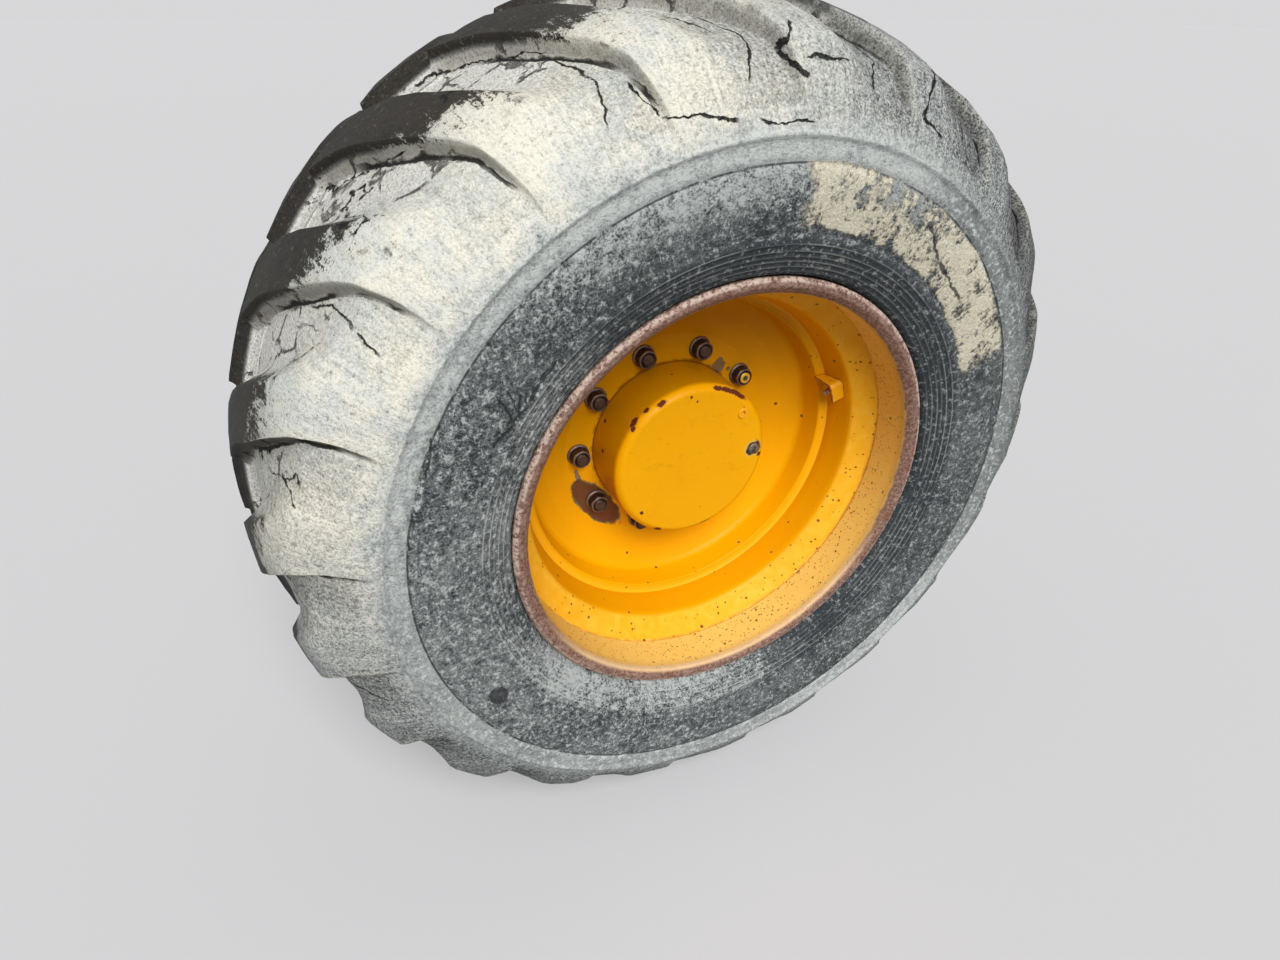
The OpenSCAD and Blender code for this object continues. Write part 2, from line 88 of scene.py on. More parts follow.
class TyreSettings(bpy.types.PropertyGroup):
    lugs: bpy.props.IntProperty(name="Lugs", description="Lugs on each half of the tread", default=21, min=8)
    clock: bpy.props.FloatProperty(
        name="Clock", description="Angle of the first lug's sharp edge", default=math.radians(1.5), subtype="ANGLE")
    sweep: bpy.props.FloatProperty(
        name="Sweep", description="Angle a lug sweeps from sidewall to crown", default=math.radians(14.5),
        subtype="ANGLE")
    rib_drop: bpy.props.FloatProperty(
        name="Centre rib drop", description="Height of the centre rib below the lugs", default=0.009, unit="LENGTH")
    wear: bpy.props.FloatProperty(
        name="Wear", description="Depth of the dents that wear has left in the tread", default=0.0032,
        unit="LENGTH")
    wear_size: bpy.props.FloatProperty(
        name="Wear size", description="How many dents lie in a metre", default=22.0)
    rubber: bpy.props.FloatVectorProperty(
        name="Rubber", description="Bare rubber", default=shade(48, 53, 57), subtype="COLOR")
    dust: bpy.props.FloatVectorProperty(
        name="Dust", description="Grey dust on the sidewall", default=shade(190, 194, 192), subtype="COLOR")
    mud: bpy.props.FloatVectorProperty(
        name="Mud", description="Dried pale mud on the shoulder", default=shade(236, 231, 214), subtype="COLOR")


class PaintSettings(bpy.types.PropertyGroup):
    paint: bpy.props.FloatVectorProperty(
        name="Paint", description="Orange-yellow wheel paint", default=shade(234, 166, 1), subtype="COLOR")
    chalk: bpy.props.FloatVectorProperty(
        name="Chalked paint", description="Faded paint on the rim's outer band", default=shade(240, 212, 122),
        subtype="COLOR")
    rust: bpy.props.FloatVectorProperty(
        name="Rust", description="Rust where the paint has gone", default=shade(98, 58, 38), subtype="COLOR")
    lip: bpy.props.FloatVectorProperty(
        name="Bare lip", description="Worn bare steel of the rim's lip", default=shade(166, 136, 122),
        subtype="COLOR")


class FastenerSettings(bpy.types.PropertyGroup):
    studs: bpy.props.IntProperty(name="Studs", description="Wheel studs", default=10, min=3)
    circle_r: bpy.props.FloatProperty(
        name="Stud circle", description="Radius of the stud circle", default=0.1675, unit="LENGTH")
    clock: bpy.props.FloatProperty(
        name="Clock", description="Angle of the first stud", default=math.radians(34.6), subtype="ANGLE")
    flats: bpy.props.FloatProperty(
        name="Nut flats", description="Width across a nut's flats", default=0.030, unit="LENGTH")
    washer_t: bpy.props.FloatProperty(
        name="Washer", description="Height of the conical washer", default=0.005, unit="LENGTH")
    stud_r: bpy.props.FloatProperty(name="Stud", description="Radius of a stud", default=0.010, unit="LENGTH")
    thread: bpy.props.FloatProperty(
        name="Thread pitch", description="Distance between thread crests", default=0.0015, unit="LENGTH")
    steel: bpy.props.FloatVectorProperty(
        name="Dark steel", description="Oiled dark fasteners", default=shade(36, 29, 26), subtype="COLOR")


class StageSettings(bpy.types.PropertyGroup):
    floor: bpy.props.FloatVectorProperty(
        name="Floor", description="Plain pale floor", default=(0.66, 0.66, 0.67), subtype="COLOR")
    bounce: bpy.props.FloatVectorProperty(
        name="Bounce", description="Colour of the light that the floor throws up", default=(0.20, 0.20, 0.20),
        subtype="COLOR")
    lens: bpy.props.FloatProperty(
        name="Lens", description="Focal length for a 36 mm wide sensor", default=20.438, unit="CAMERA")
    sky: bpy.props.FloatProperty(name="Sky", description="Strength of the world's light", default=0.20)
    lamp: bpy.props.FloatProperty(name="Lamp", description="Strength of the soft key light", default=3.60)
    softness: bpy.props.FloatProperty(
        name="Softness", description="How wide the key light looks from the wheel", default=math.radians(38),
        subtype="ANGLE")


# Node trees, written as plain arithmetic

class Value:
    """A socket of a node tree. Arithmetic on it adds Math nodes to the tree."""

    def __init__(self, graph, socket):
        self.graph = graph
        self.socket = socket

    def math(self, operation, *others, clamp=False):
        settings = {"operation": operation, "use_clamp": clamp}
        inputs = dict(enumerate((self,) + others))
        return self.graph.node("ShaderNodeMath", settings, inputs)

    def __add__(self, other):
        return self.math("ADD", other)

    def __radd__(self, other):
        return self.math("ADD", other)

    def __sub__(self, other):
        return self.math("SUBTRACT", other)

    def __rsub__(self, other):
        return self.graph.node("ShaderNodeMath", {"operation": "SUBTRACT"}, {0: other, 1: self})

    def __mul__(self, other):
        return self.math("MULTIPLY", other)

    def __rmul__(self, other):
        return self.math("MULTIPLY", other)

    def __truediv__(self, other):
        return self.math("DIVIDE", other)

    def __pow__(self, other):
        return self.math("POWER", other)

    def __neg__(self):
        return self.math("MULTIPLY", -1.0)

    def absolute(self):
        return self.math("ABSOLUTE")

    def either(self, other):
        return self.math("MAXIMUM", other)

    def both(self, other):
        return self.math("MINIMUM", other)

    def clamped(self):
        return self.math("ADD", 0.0, clamp=True)

    def ease(self, low, high):
        """0 below low and 1 above high, or the other way round, with a smooth step between them."""
        settings = {"interpolation_type": "SMOOTHSTEP", "clamp": True}
        if low > high:
            return 1.0 - self.graph.node("ShaderNodeMapRange", settings, {0: self, 1: high, 2: low})
        return self.graph.node("ShaderNodeMapRange", settings, {0: self, 1: low, 2: high})

    def near(self, centre, half, soft):
        """1 within half of centre, falling to 0 over soft."""
        return (self - centre).absolute().ease(half + soft, half)


class Graph:
    """A node tree, shader or geometry, with one method that adds any node."""

    def __init__(self, tree):
        self.tree = tree

    def node(self, kind, settings=None, inputs=None, out=0):
        node = self.tree.nodes.new(kind)
        for key, value in (settings or {}).items():
            setattr(node, key, value)
        for key, value in (inputs or {}).items():
            socket = node.inputs[key]
            if isinstance(value, Value):
                self.tree.links.new(value.socket, socket)
            elif socket.type == "RGBA" and len(value) == 3:
                socket.default_value = tuple(value) + (1.0,)
            else:
                socket.default_value = value
        return Value(self, node.outputs[out])


MIX_FACTOR, MIX_A, MIX_B, MIX_COLOUR_OUT = 0, 6, 7, 2


class Finish(Graph):
    """A material with one Principled shader. Patterns read Object coordinates or named attributes."""

    def __init__(self, name):
        self.material = bpy.data.materials.new(name)
        self.material.use_nodes = True
        super().__init__(self.material.node_tree)
        self.tree.nodes.clear()
        self.shader = self.tree.nodes.new("ShaderNodeBsdfPrincipled")
        output = self.tree.nodes.new("ShaderNodeOutputMaterial")
        self.tree.links.new(self.shader.outputs[0], output.inputs[0])
        self.place = self.node("ShaderNodeTexCoord", out=3)
        self.x, self.y, self.z = (
            self.node("ShaderNodeSeparateXYZ", None, {0: self.place}, axis) for axis in range(3)
        )
        self.inward = self.y - RIM_FACE
        self.radius = (self.x * self.x + self.z * self.z) ** 0.5
        self.cos = self.x / self.radius
        self.sin = self.z / self.radius
        self.turn = self.z.math("ARCTAN2", self.x)
        self.noises = {}

    def set(self, **sockets):
        """Sets or links the shader's sockets, named with spaces as underscores."""
        for key, value in sockets.items():
            socket = self.shader.inputs[key.replace("_", " ").title().replace("Ior", "IOR")]
            if isinstance(value, Value):
                self.tree.links.new(value.socket, socket)
            elif socket.type == "RGBA":
                socket.default_value = tuple(value) + (1.0,)
            else:
                socket.default_value = value
        return self.material

    def noise(self, scale, detail=3.0, rough=0.55, at=None, distort=0.0):
        """Noise of a kind that the material has already, or else new noise."""
        inputs = {"Vector": at or self.place, "Scale": scale, "Detail": detail, "Roughness": rough,
                  "Distortion": distort}
        known = tuple(inputs.values())
        if known not in self.noises:
            self.noises[known] = self.node("ShaderNodeTexNoise", None, inputs)
        return self.noises[known]

    def cells(self, scale, feature="F1", at=None, out=0):
        inputs = {"Vector": at or self.place, "Scale": scale}
        return self.node("ShaderNodeTexVoronoi", {"feature": feature}, inputs, out)

    def round_noise(self, around, outwards, detail=3.0, rough=0.55):
        """Noise with a number of features to a radian round the axle line and to a metre across it."""
        at = self.vector(self.cos * around, self.sin * around, self.radius * outwards + self.y * outwards * 0.4)
        return self.noise(1.0, detail, rough, at)

    def vector(self, x, y, z):
        return self.node("ShaderNodeCombineXYZ", None, {0: x, 1: y, 2: z})

    def attribute(self, name):
        return self.node("ShaderNodeAttribute", {"attribute_name": name}, None, 2)

    def chance(self, number, salt):
        """A random share from 0 to 1 for a whole number such as a lug's."""
        return self.node("ShaderNodeTexWhiteNoise", {"noise_dimensions": "1D"}, {"W": number + salt}, 0)

    def mix(self, share, first, second):
        inputs = {MIX_FACTOR: share, MIX_A: first, MIX_B: second}
        return self.node("ShaderNodeMix", {"data_type": "RGBA"}, inputs, MIX_COLOUR_OUT)

    def tone(self, colour, amount):
        """A colour made darker or lighter by a value near 1."""
        inputs = {MIX_FACTOR: 1.0, MIX_A: colour, MIX_B: self.vector(amount, amount, amount)}
        return self.node("ShaderNodeMix", {"data_type": "RGBA", "blend_type": "MULTIPLY"}, inputs, MIX_COLOUR_OUT)

    def bump(self, height, distance, strength):
        return self.node("ShaderNodeBump", None, {"Height": height, "Distance": distance, "Strength": strength})

    def sector(self, degrees, half, soft):
        """1 within half degrees of a clock angle, falling to 0 over soft degrees."""
        angle = math.radians(degrees)
        along = self.cos * math.cos(angle) + self.sin * math.sin(angle)
        return along.ease(math.cos(math.radians(half + soft)), math.cos(math.radians(half)))

    def scratch(self, degrees, radius, to_degrees, to_radius, half):
        """1 on a ragged line between two points across the axle, given as clock angles and radii."""
        turns = math.radians(degrees), math.radians(to_degrees)
        start = Vector((radius * math.cos(turns[0]), radius * math.sin(turns[0])))
        end = Vector((to_radius * math.cos(turns[1]), to_radius * math.sin(turns[1])))
        along = (end - start).normalized()
        length = (end - start).length
        east, north = self.x - start.x, self.z - start.y
        run = east * along.x + north * along.y
        # The line bends, narrows and breaks off as the noises say
        bend = (self.noise(26, 2) - 0.5) * 0.016 + (self.noise(95, 3, 0.7) - 0.5) * 0.007
        wide = (self.noise(60, 3, 0.6) - 0.30).either(0.08) * (half * 4.5)
        off = (east * -along.y + north * along.x + bend).absolute() / wide
        return off.ease(1.3, 0.8) * run.near(length / 2, length * 0.44, length * 0.08)

    def spot(self, degrees, radius, inward, sizes, ragged=0.35, fine=90.0):
        """1 inside a ragged ellipse round a point. sizes are its half lengths round, outwards and along."""
        angle = math.radians(degrees)
        centre = Vector((radius * math.cos(angle), RIM_FACE + inward, radius * math.sin(angle)))
        axes = (Vector((-math.sin(angle), 0, math.cos(angle))), Vector((math.cos(angle), 0, math.sin(angle))),
                Vector((0, 1, 0)))
        offset = self.node("ShaderNodeVectorMath", {"operation": "SUBTRACT"}, {0: self.place, 1: centre})
        total = None
        for axis, size in zip(axes, sizes):
            part = self.node("ShaderNodeVectorMath", {"operation": "DOT_PRODUCT"}, {0: offset, 1: axis / size}, 1)
            total = part * part if total is None else total + part * part
        edge = total ** 0.5 + (self.noise(fine, 4.0, 0.7) - 0.5) * (2 * ragged)
        return edge.ease(1.06, 0.94)


# Finishes

# Radii where the tyre's sidewall, its outer band and its muddy shoulder begin, and the grooves between them
SIDEWALL_START = (0.396, 0.408)
BAND_START = (0.4865, 0.4895)
SHOULDER_START = (0.508, 0.548)
BEAD_GROOVE = 0.4080
BAND_GROOVE = 0.4880


class Rubber(Finish):
    """The tyre's material, with the stored values and the noises that its layers share."""

    def __init__(self):
        super().__init__("tyre_rubber")
        self.height = self.attribute("height")
        self.phase = self.attribute("phase")
        self.station = self.attribute("station")
        self.lug = self.attribute("lug")
        self.fleck = self.noise(330, 3, 0.8)
        self.grain = self.noise(150, 5, 0.8)
        self.fleck_low = self.fleck - 0.5
        self.speck_low = self.fleck_low * 1.1 + (self.grain - 0.5) * 0.9
        self.curls = self.noise(64, 2, 0.5, distort=3.0).near(0.5, 0.006, 0.022) * self.fleck.ease(0.42, 0.54)
        self.blotch = self.noise(26, 5, 0.66, distort=0.5)
        self.blotch_low = self.blotch - 0.5
        self.cloud = self.noise(8, 3, 0.55)
        self.streaks = self.round_noise(120, 12, 4, 0.65)
        self.scrapes = self.round_noise(34, 120, 4, 0.7)


def sidewall_colour(f, rubber, dust):
    """Dark rubber under grey dust, which is thicker below, at the top, next to the lugs and on the thin rings."""
    sidewall = 0.13 + 0.13 * f.sector(200, 42, 42) + 0.40 * f.sector(88, 26, 26) * f.radius.ease(0.425, 0.465)
    bead = 0.03 + 0.24 * f.sector(200, 50, 35) + 0.40 * f.sector(246, 22, 28)
    zone = f.radius.ease(*SIDEWALL_START)
    share = bead + (sidewall - bead) * zone
    outer = (0.70 + share * 0.25) * (1.0 - 0.48 * f.sector(16, 32, 22))
    outer = outer * (1.0 - 0.28 * f.sector(232, 42, 28))
    beyond = f.radius.ease(*BAND_START)
    share = share + (outer - share) * beyond
    mottle = (f.cloud - 0.5) * 2.2 + f.blotch_low * 2.2 + f.speck_low * 5.2 + (f.scrapes - 0.5) * 3.0
    dusty = share * (1.0 + mottle * (1.0 - beyond * 0.62))
    pale = (f.grain + (f.scrapes - 0.5) * 0.5).ease(0.562, 0.606) * (0.40 + share * 0.7)
    colour = f.mix((dusty + pale).clamped(), rubber, f.mix(beyond, dust, shade(206, 211, 208)))
    strokes = f.curls * f.blotch.ease(0.44, 0.54) * f.radius.ease(0.395, 0.41)
    colour = f.mix(strokes * 0.60, colour, shade(196, 200, 199))

    # Thin rings above the bead carry dust on their tops
    rings = None
    for ring, strength in zip(RING_RADII, RING_DUST):
        line = f.radius.near(ring, 0.0003, 0.0012) * strength
        rings = line if rings is None else rings.either(line)
    rings = rings * (share * 0.9 + 0.30) * (0.35 + f.fleck * 1.2) * (0.25 + f.cloud.ease(0.38, 0.60))
    colour = f.mix(rings.clamped(), colour, shade(190, 193, 190))
    groove = f.radius.near(BAND_GROOVE, 0.0008, 0.0010) * f.blotch.ease(0.40, 0.50)
    colour = f.mix(groove * 0.8, colour, shade(38, 38, 40))
    return colour


def cream_patch(f, colour):
    """Cream mud left on the upper right of the sidewall, finely crazed and half worn off."""
    wide = f.radius + f.blotch_low * 0.016 + f.cos * 0.010
    cream = f.sector(54, 26, 9) * wide.near(0.4555, 0.033, 0.010)
    clumps = f.noise(15, 3, 0.6)
    broken = 0.76 + (clumps - 0.5) * 2.6 + (f.grain - 0.5) * 2.6 + f.blotch_low * 2.4 + (f.streaks - 0.5) * 1.0
    cover = cream * broken
    cream = cover.ease(0.26, 0.70)
    cream_colour = f.mix(f.fleck.ease(0.36, 0.62), shade(206, 197, 172), shade(240, 233, 212))
    cream_colour = f.mix(f.curls * 0.75, cream_colour, shade(130, 124, 108))
    colour = f.mix(cream * 0.94, colour, cream_colour)
    return colour, cream


def sidewall_marks(f, colour):
    """A round dark patch, a dark run through the cream mud, and scratches."""
    face = TYRE_FACE - RIM_FACE
    oval = f.spot(206.6, 0.445, face, (0.0175, 0.0135, 0.05), 0.10)
    marks = oval * 0.92
    for scratch in SCRATCHES:
        marks = marks.either(f.scratch(*scratch) * (0.55 + f.fleck * 0.8))
    colour = f.mix(marks.clamped() * 0.9, colour, shade(42, 44, 47))
    return colour


def shoulder_mud(f, colour, mud):
    """Cream mud on the shoulder that thins into grey round to the right and below, with crests painted lighter and
    painted shade in the hollows and at the far right.
    """
    facing = f.cos * math.cos(math.radians(132)) + f.sin * math.sin(math.radians(132))
    thick = 0.05 + 0.95 * (facing / 0.97).clamped() ** 1.8
    grey = f.mix(f.fleck.ease(0.38, 0.62), shade(72, 76, 78), shade(128, 132, 131))
    cream_share = (f.blotch * 0.5 + f.cloud * 0.5).ease(0.36, 0.60) * thick.ease(0.24, 0.80)
    muddy = f.mix(cream_share, shade(210, 212, 207), mud)
    amount = thick + f.speck_low * 0.6 * (1.15 - thick) + (f.blotch_low * 0.5 + f.streaks * 0.8 - 0.4) * (1.2 - thick)
    body = f.mix(amount.clamped(), grey, muddy)
    body = f.mix(f.curls * 0.35 * (1.0 - thick * 0.5), body, shade(206, 208, 202))
    speckle_and_crest_shade = 1.0 + f.speck_low * (1.35 + (1.0 - thick) * 1.9) + (f.streaks - 0.5) * 0.7
    # Crests are made lighter and hollows darker by the tread's height: painted light and shade, strongest where the
    # mud is thin.
    speckle_and_crest_shade = speckle_and_crest_shade + (f.height - 0.6) * 0.55 * (1.0 - thick * 0.7)
    pits = f.grain.ease(0.385, 0.355) * 0.25
    body = f.tone(body, (speckle_and_crest_shade - pits).both(1.14 + (1.0 - thick) * 0.45).either(0.22))
    # A cool grey in the hollow behind each lug's foot is painted shade; the cloud and blotch noises add cool grey
    # patches to the mud as well.
    hollow = f.phase.near(0.17, 0.07, 0.16) * f.station.ease(3.0, 5.0)
    cool_patches_and_hollow_shade = (hollow * 0.5 + (f.cloud - 0.5) * 2.0 + f.blotch_low * 1.4).clamped() * thick
    body = f.mix(cool_patches_and_hollow_shade * 0.34, body, f.tone(shade(178, 184, 186), (speckle_and_crest_shade - pits).both(1.1).either(0.22)))
    edge = f.phase.near(0.995, 0.012, 0.05).either(f.phase.near(-0.005, 0.012, 0.05))
    body = f.mix(edge * f.station.ease(1.4, 3.0) * 0.24 * f.fleck.ease(0.4, 0.6), body, shade(204, 197, 174))
    # The far right of the shoulder is made darker: painted shade.
    body = f.tone(body, 1.0 - f.sector(20, 14, 14) * 0.36)
    shoulder = (f.radius + f.blotch_low * 0.05 + f.speck_low * 0.02).ease(*SHOULDER_START)
    colour = f.mix(shoulder, colour, body)
    return colour, shoulder, thick


def bare_crests(f, colour, thick):
    """Crests near the crown are rubbed bare and dark, with a torn edge, and the hollows stay grey."""
    torn = f.station + f.blotch_low * 3.2 + f.speck_low * 1.9
    torn = torn + (f.chance(f.lug, 3.0) - 0.5) * 0.7 + (f.streaks - 0.5) * 1.8
    wet = f.sector(150, 40, 16)
    torn = torn - (1.0 - wet) * 0.55 + f.sector(119, 7, 5) * 0.25 - f.sector(102, 7, 5) * 0.45
    bare = torn.ease(7.10, 7.40) * (f.height + f.speck_low * 0.9).ease(0.50, 0.72)
    scraps = (f.blotch + f.speck_low * 0.5).ease(0.61, 0.66) * f.station.ease(5.4, 6.6) * f.height.ease(0.6, 0.9)
    bare = bare.either(scraps * 0.75).either(torn.ease(7.8, 8.3) * f.height.ease(0.30, 0.5))
    bare_colour = f.mix(f.fleck.ease(0.40, 0.66), shade(14, 11, 9), shade(44, 37, 31))
    dry_colour = f.mix(f.fleck.ease(0.40, 0.66), shade(58, 58, 57), shade(112, 110, 105))
    bare_colour = f.mix(wet, dry_colour, bare_colour)
    bare_colour = f.mix(f.grain.ease(0.605, 0.650) * 0.45, bare_colour, shade(150, 142, 128))
    colour = f.mix(bare * 0.97, colour, bare_colour)
    valley = torn.ease(6.8, 7.8) * (1.0 - f.height).ease(0.3, 0.8)
    valley_colour = f.mix(f.fleck.ease(0.32, 0.56), shade(140, 140, 138), shade(236, 235, 227))
    colour = f.mix(valley * (0.42 + thick * 0.46), colour, valley_colour)
    smudge = f.spot(136.0, 0.6074, 0.0707, (0.033, 0.014, 0.05), 0.5, 60) * (f.streaks + f.fleck_low).ease(0.42, 0.56)
    colour = f.mix(smudge * 0.8, colour, shade(62, 60, 56))
    return colour, bare, torn


def mud_cracks(f, colour, thick, bare, torn):
    """Cracks at the lugs' feet, running down the hollows, and dark lines of painted shade under the lugs' edges."""
    wander = (f.noise(26, 3, 0.6) - 0.5) * 0.16
    fray = f.fleck_low * 0.022
    foot = (f.phase - 0.050 + wander * 0.3 + fray * 0.6).absolute().ease(0.013, 0.006)
    foot = foot * f.station.near(6.3, 2.3, 0.6) * f.chance(f.lug, 7.0).ease(0.16, 0.22) * f.cloud.ease(0.36, 0.46)
    fall = (7.4 - f.station) * 0.075 + 0.08
    slant = (f.phase - fall + wander + fray).absolute().ease(0.011, 0.005)
    slant = slant * f.station.near(5.6, 1.8, 0.4) * f.chance(f.lug, 11.0).ease(0.30, 0.36) * f.blotch.ease(0.36, 0.46)
    second = (f.phase - 0.30 + (f.station - 6.0) * 0.05 - wander * 1.2 + fray).absolute().ease(0.009, 0.004)
    second = second * f.station.near(6.6, 1.0, 0.4) * f.chance(f.lug, 5.0).ease(0.42, 0.48) * f.cloud.ease(0.44, 0.54)
    loops = f.cells(17, "DISTANCE_TO_EDGE", at=f.vector(f.x + wander * 0.2, f.y, f.z + wander * 0.2))
    loops = (loops + f.fleck_low * 0.05).ease(0.050, 0.020) * f.blotch.ease(0.46, 0.56)
    loops = loops * torn.ease(6.7, 7.3) * (1.0 - f.height).ease(0.3, 0.7)
    crack = foot.either(slant).either(second).either(loops * 0.85) * f.station.ease(1.2, 2.2)
    for line in MUD_CRACKS:
        crack = crack.either(f.scratch(*line) * (0.6 + f.fleck * 0.8))
    # Dark lines just under the lugs' sharp edges, strongest on the lower left, are painted shade.
    low_left_edge_shade = f.sector(196, 34, 16) * f.station.ease(1.6, 2.8)
    colour = f.mix(f.phase.near(0.020, 0.012, 0.020) * low_left_edge_shade * 0.85, colour, shade(58, 56, 52))
    under = f.phase.near(0.036, 0.008, 0.018) * f.station.ease(2.6, 4.2) * (1.0 - bare)
    colour = f.mix(under * (0.15 + f.fleck * 0.5), colour, f.mix(thick, shade(70, 70, 68), shade(116, 108, 92)))
    colour = f.mix((crack * 0.95).clamped(), colour, shade(24, 23, 24))
    return colour, crack


def rubber_finish(settings):
    """Worn rubber: pale mud on the shoulder, bare crests, dusty sidewall, dark bead with thin rings."""
    f = Rubber()
    colour = sidewall_colour(f, tuple(settings.rubber), tuple(settings.dust))
    colour, cream = cream_patch(f, colour)
    colour = sidewall_marks(f, colour)
    colour, shoulder, thick = shoulder_mud(f, colour, tuple(settings.mud))
    colour, bare, torn = bare_crests(f, colour, thick)
    colour, crack = mud_cracks(f, colour, thick, bare, torn)

    mudded = shoulder * (1.0 - bare)
    rough = 0.62 + mudded * 0.28 + f.fleck_low * 0.4 - bare * 0.04
    lift = f.fleck * 0.9 + f.grain * 1.2 + f.blotch * 0.8 - crack * 2.6 + cream * 0.5 + f.streaks * 0.3
    normal = f.bump(lift, 0.0022, 0.9)
    return f.set(base_color=colour, roughness=rough.clamped(), normal=normal, specular_ior_level=0.12)


def rust_specks(f, scale, size, share):
    """Small round rust specks: the share of cells that have one, with ragged edges."""
    away = f.cells(scale)
    pick = f.cells(scale, out=1)
    red = f.node("ShaderNodeSeparateColor", None, {0: pick}, 0)
    green = f.node("ShaderNodeSeparateColor", None, {0: pick}, 1)
    wide = size * (0.35 + 0.9 * green)
    return (wide - away - (f.noise(scale * 4, 2) - 0.5) * 0.10).ease(-0.02, 0.05) * (share - red).ease(0.0, 0.02)


def paint_colour(f, settings):
    """Weathered orange-yellow paint and its bump, before any marks."""
    paint = tuple(settings.paint)
    broad = f.noise(5, 3, 0.5)
    fine = f.noise(60, 4, 0.6)
    colour = f.mix(broad.ease(0.35, 0.70) * 0.35, paint, shade(226, 151, 0))
    colour = f.mix(fine.ease(0.58, 0.78) * 0.22, colour, shade(238, 184, 34))
    orange_peel = f.noise(260, 2, 0.5)
    grime = f.noise(24, 5, 0.7, distort=0.8).ease(0.60, 0.80)
    colour = f.mix(grime * 0.14, colour, shade(160, 104, 40))
    return colour, fine, orange_peel


def rim_finish(settings):
    """The rim: bare rusty lips, a chalked outer band, then paint with rust specks down to the well."""
    f = Finish("rim_paint")
    colour, fine, peel = paint_colour(f, settings)
    side = (f.inward - RIM_W / 2).absolute() * -1.0 + RIM_W / 2
    blotch = f.noise(46, 4, 0.65)
    band = (side + (blotch - 0.5) * 0.008).ease(0.0825, 0.0765)
    colour = f.mix(band * (0.52 + 0.40 * fine), colour, tuple(settings.chalk))
    slope = side.ease(0.1125, 0.104) * (1.0 - band)
    colour = f.mix(slope * (0.20 + 0.30 * blotch.ease(0.36, 0.70)), colour, shade(248, 198, 74))
    step = side.near(0.0800, 0.0012, 0.0016)
    colour = f.mix(step * blotch.ease(0.40, 0.60) * 0.35, colour, shade(176, 106, 30))
    well = side.ease(0.112, 0.120)
    colour = f.mix(well * 0.25, colour, shade(206, 124, 4))

    dense = (rust_specks(f, 240, 0.27, 0.42) * 0.7).either(rust_specks(f, 150, 0.24, 0.50) * 0.8)
    dense = dense.either(rust_specks(f, 95, 0.20, 0.30) * 0.9) * band
    middle = rust_specks(f, 120, 0.24, 0.40) * slope
    few = rust_specks(f, 60, 0.17, 0.30)
    scrape = f.noise(1.0, 4, 0.75, at=f.vector(f.turn * 30, f.y * 420, f.radius * 60))
    scrape = scrape.ease(0.69, 0.74) * blotch.ease(0.48, 0.58) * side.ease(0.115, 0.10)
    rusty = dense.either(middle).either(few).either(scrape * 0.8)
    rust = f.mix(blotch, tuple(settings.rust), shade(132, 78, 40))
    colour = f.mix(rusty * 0.88, colour, rust)

    near_lip = side.ease(0.030, 0.008) * (0.35 + fine * 0.6) + side.ease(0.017, 0.011) * 0.45
    colour = f.mix(near_lip.clamped(), colour, shade(206, 168, 102))

    # The lip's outer face and round edges are bare, mauve-brown with bright worn specks
    ragged = (blotch - 0.5) * 0.005 + (fine - 0.5) * 0.003
    face = (side + ragged * 1.4).ease(0.0130, 0.0085)
    round_edge = (f.radius + ragged).ease(0.3345, 0.3365) * side.ease(0.05, 0.03)
    lip = face.either(round_edge)
    crust = f.noise(210, 4, 0.7)
    lip_colour = f.mix(crust.ease(0.35, 0.65), shade(112, 82, 70), tuple(settings.lip))
    lip_colour = f.mix(f.noise(330, 3, 0.75).ease(0.60, 0.70) * 0.75, lip_colour, shade(214, 196, 182))
    lip_colour = f.mix(blotch.ease(0.50, 0.72) * 0.5, lip_colour, shade(122, 70, 44))
    # The lip's outer rounding is lighter, most towards the top: partly worn bare steel, partly a painted highlight.
    worn = f.radius.ease(0.3405, 0.3440) * (crust + blotch - 0.5).ease(0.36, 0.60)
    lip_colour = f.mix(worn * (0.35 + 0.45 * f.sector(95, 75, 30)), lip_colour, shade(216, 196, 182))
    # The lip is paler at the bottom: partly faded paint, partly painted light.
    inner = f.sector(268, 42, 30) * side.ease(0.0025, 0.0070) * (0.65 + fine * 0.5)
    lip_colour = f.mix(inner.clamped(), lip_colour, shade(236, 202, 154))
    edge = lip * (1.0 - (side + ragged).ease(0.0085, 0.0050)) * f.radius.ease(0.330, 0.324)
    colour = f.mix(lip, colour, lip_colour)
    colour = f.mix(edge * 0.4, colour, shade(86, 48, 28))

    bare = lip.either(rusty)
    rough = 0.40 + band * 0.22 + bare * 0.22 + (fine - 0.5) * 0.12
    lift = peel * 0.25 + fine * 0.35 - rusty * 1.1 + lip * crust * 1.6 - lip * 0.5
    return f.set(base_color=colour, roughness=rough, metallic=lip * 0.30, normal=f.bump(lift, 0.0009, 0.8),
                 specular_ior_level=0.10)


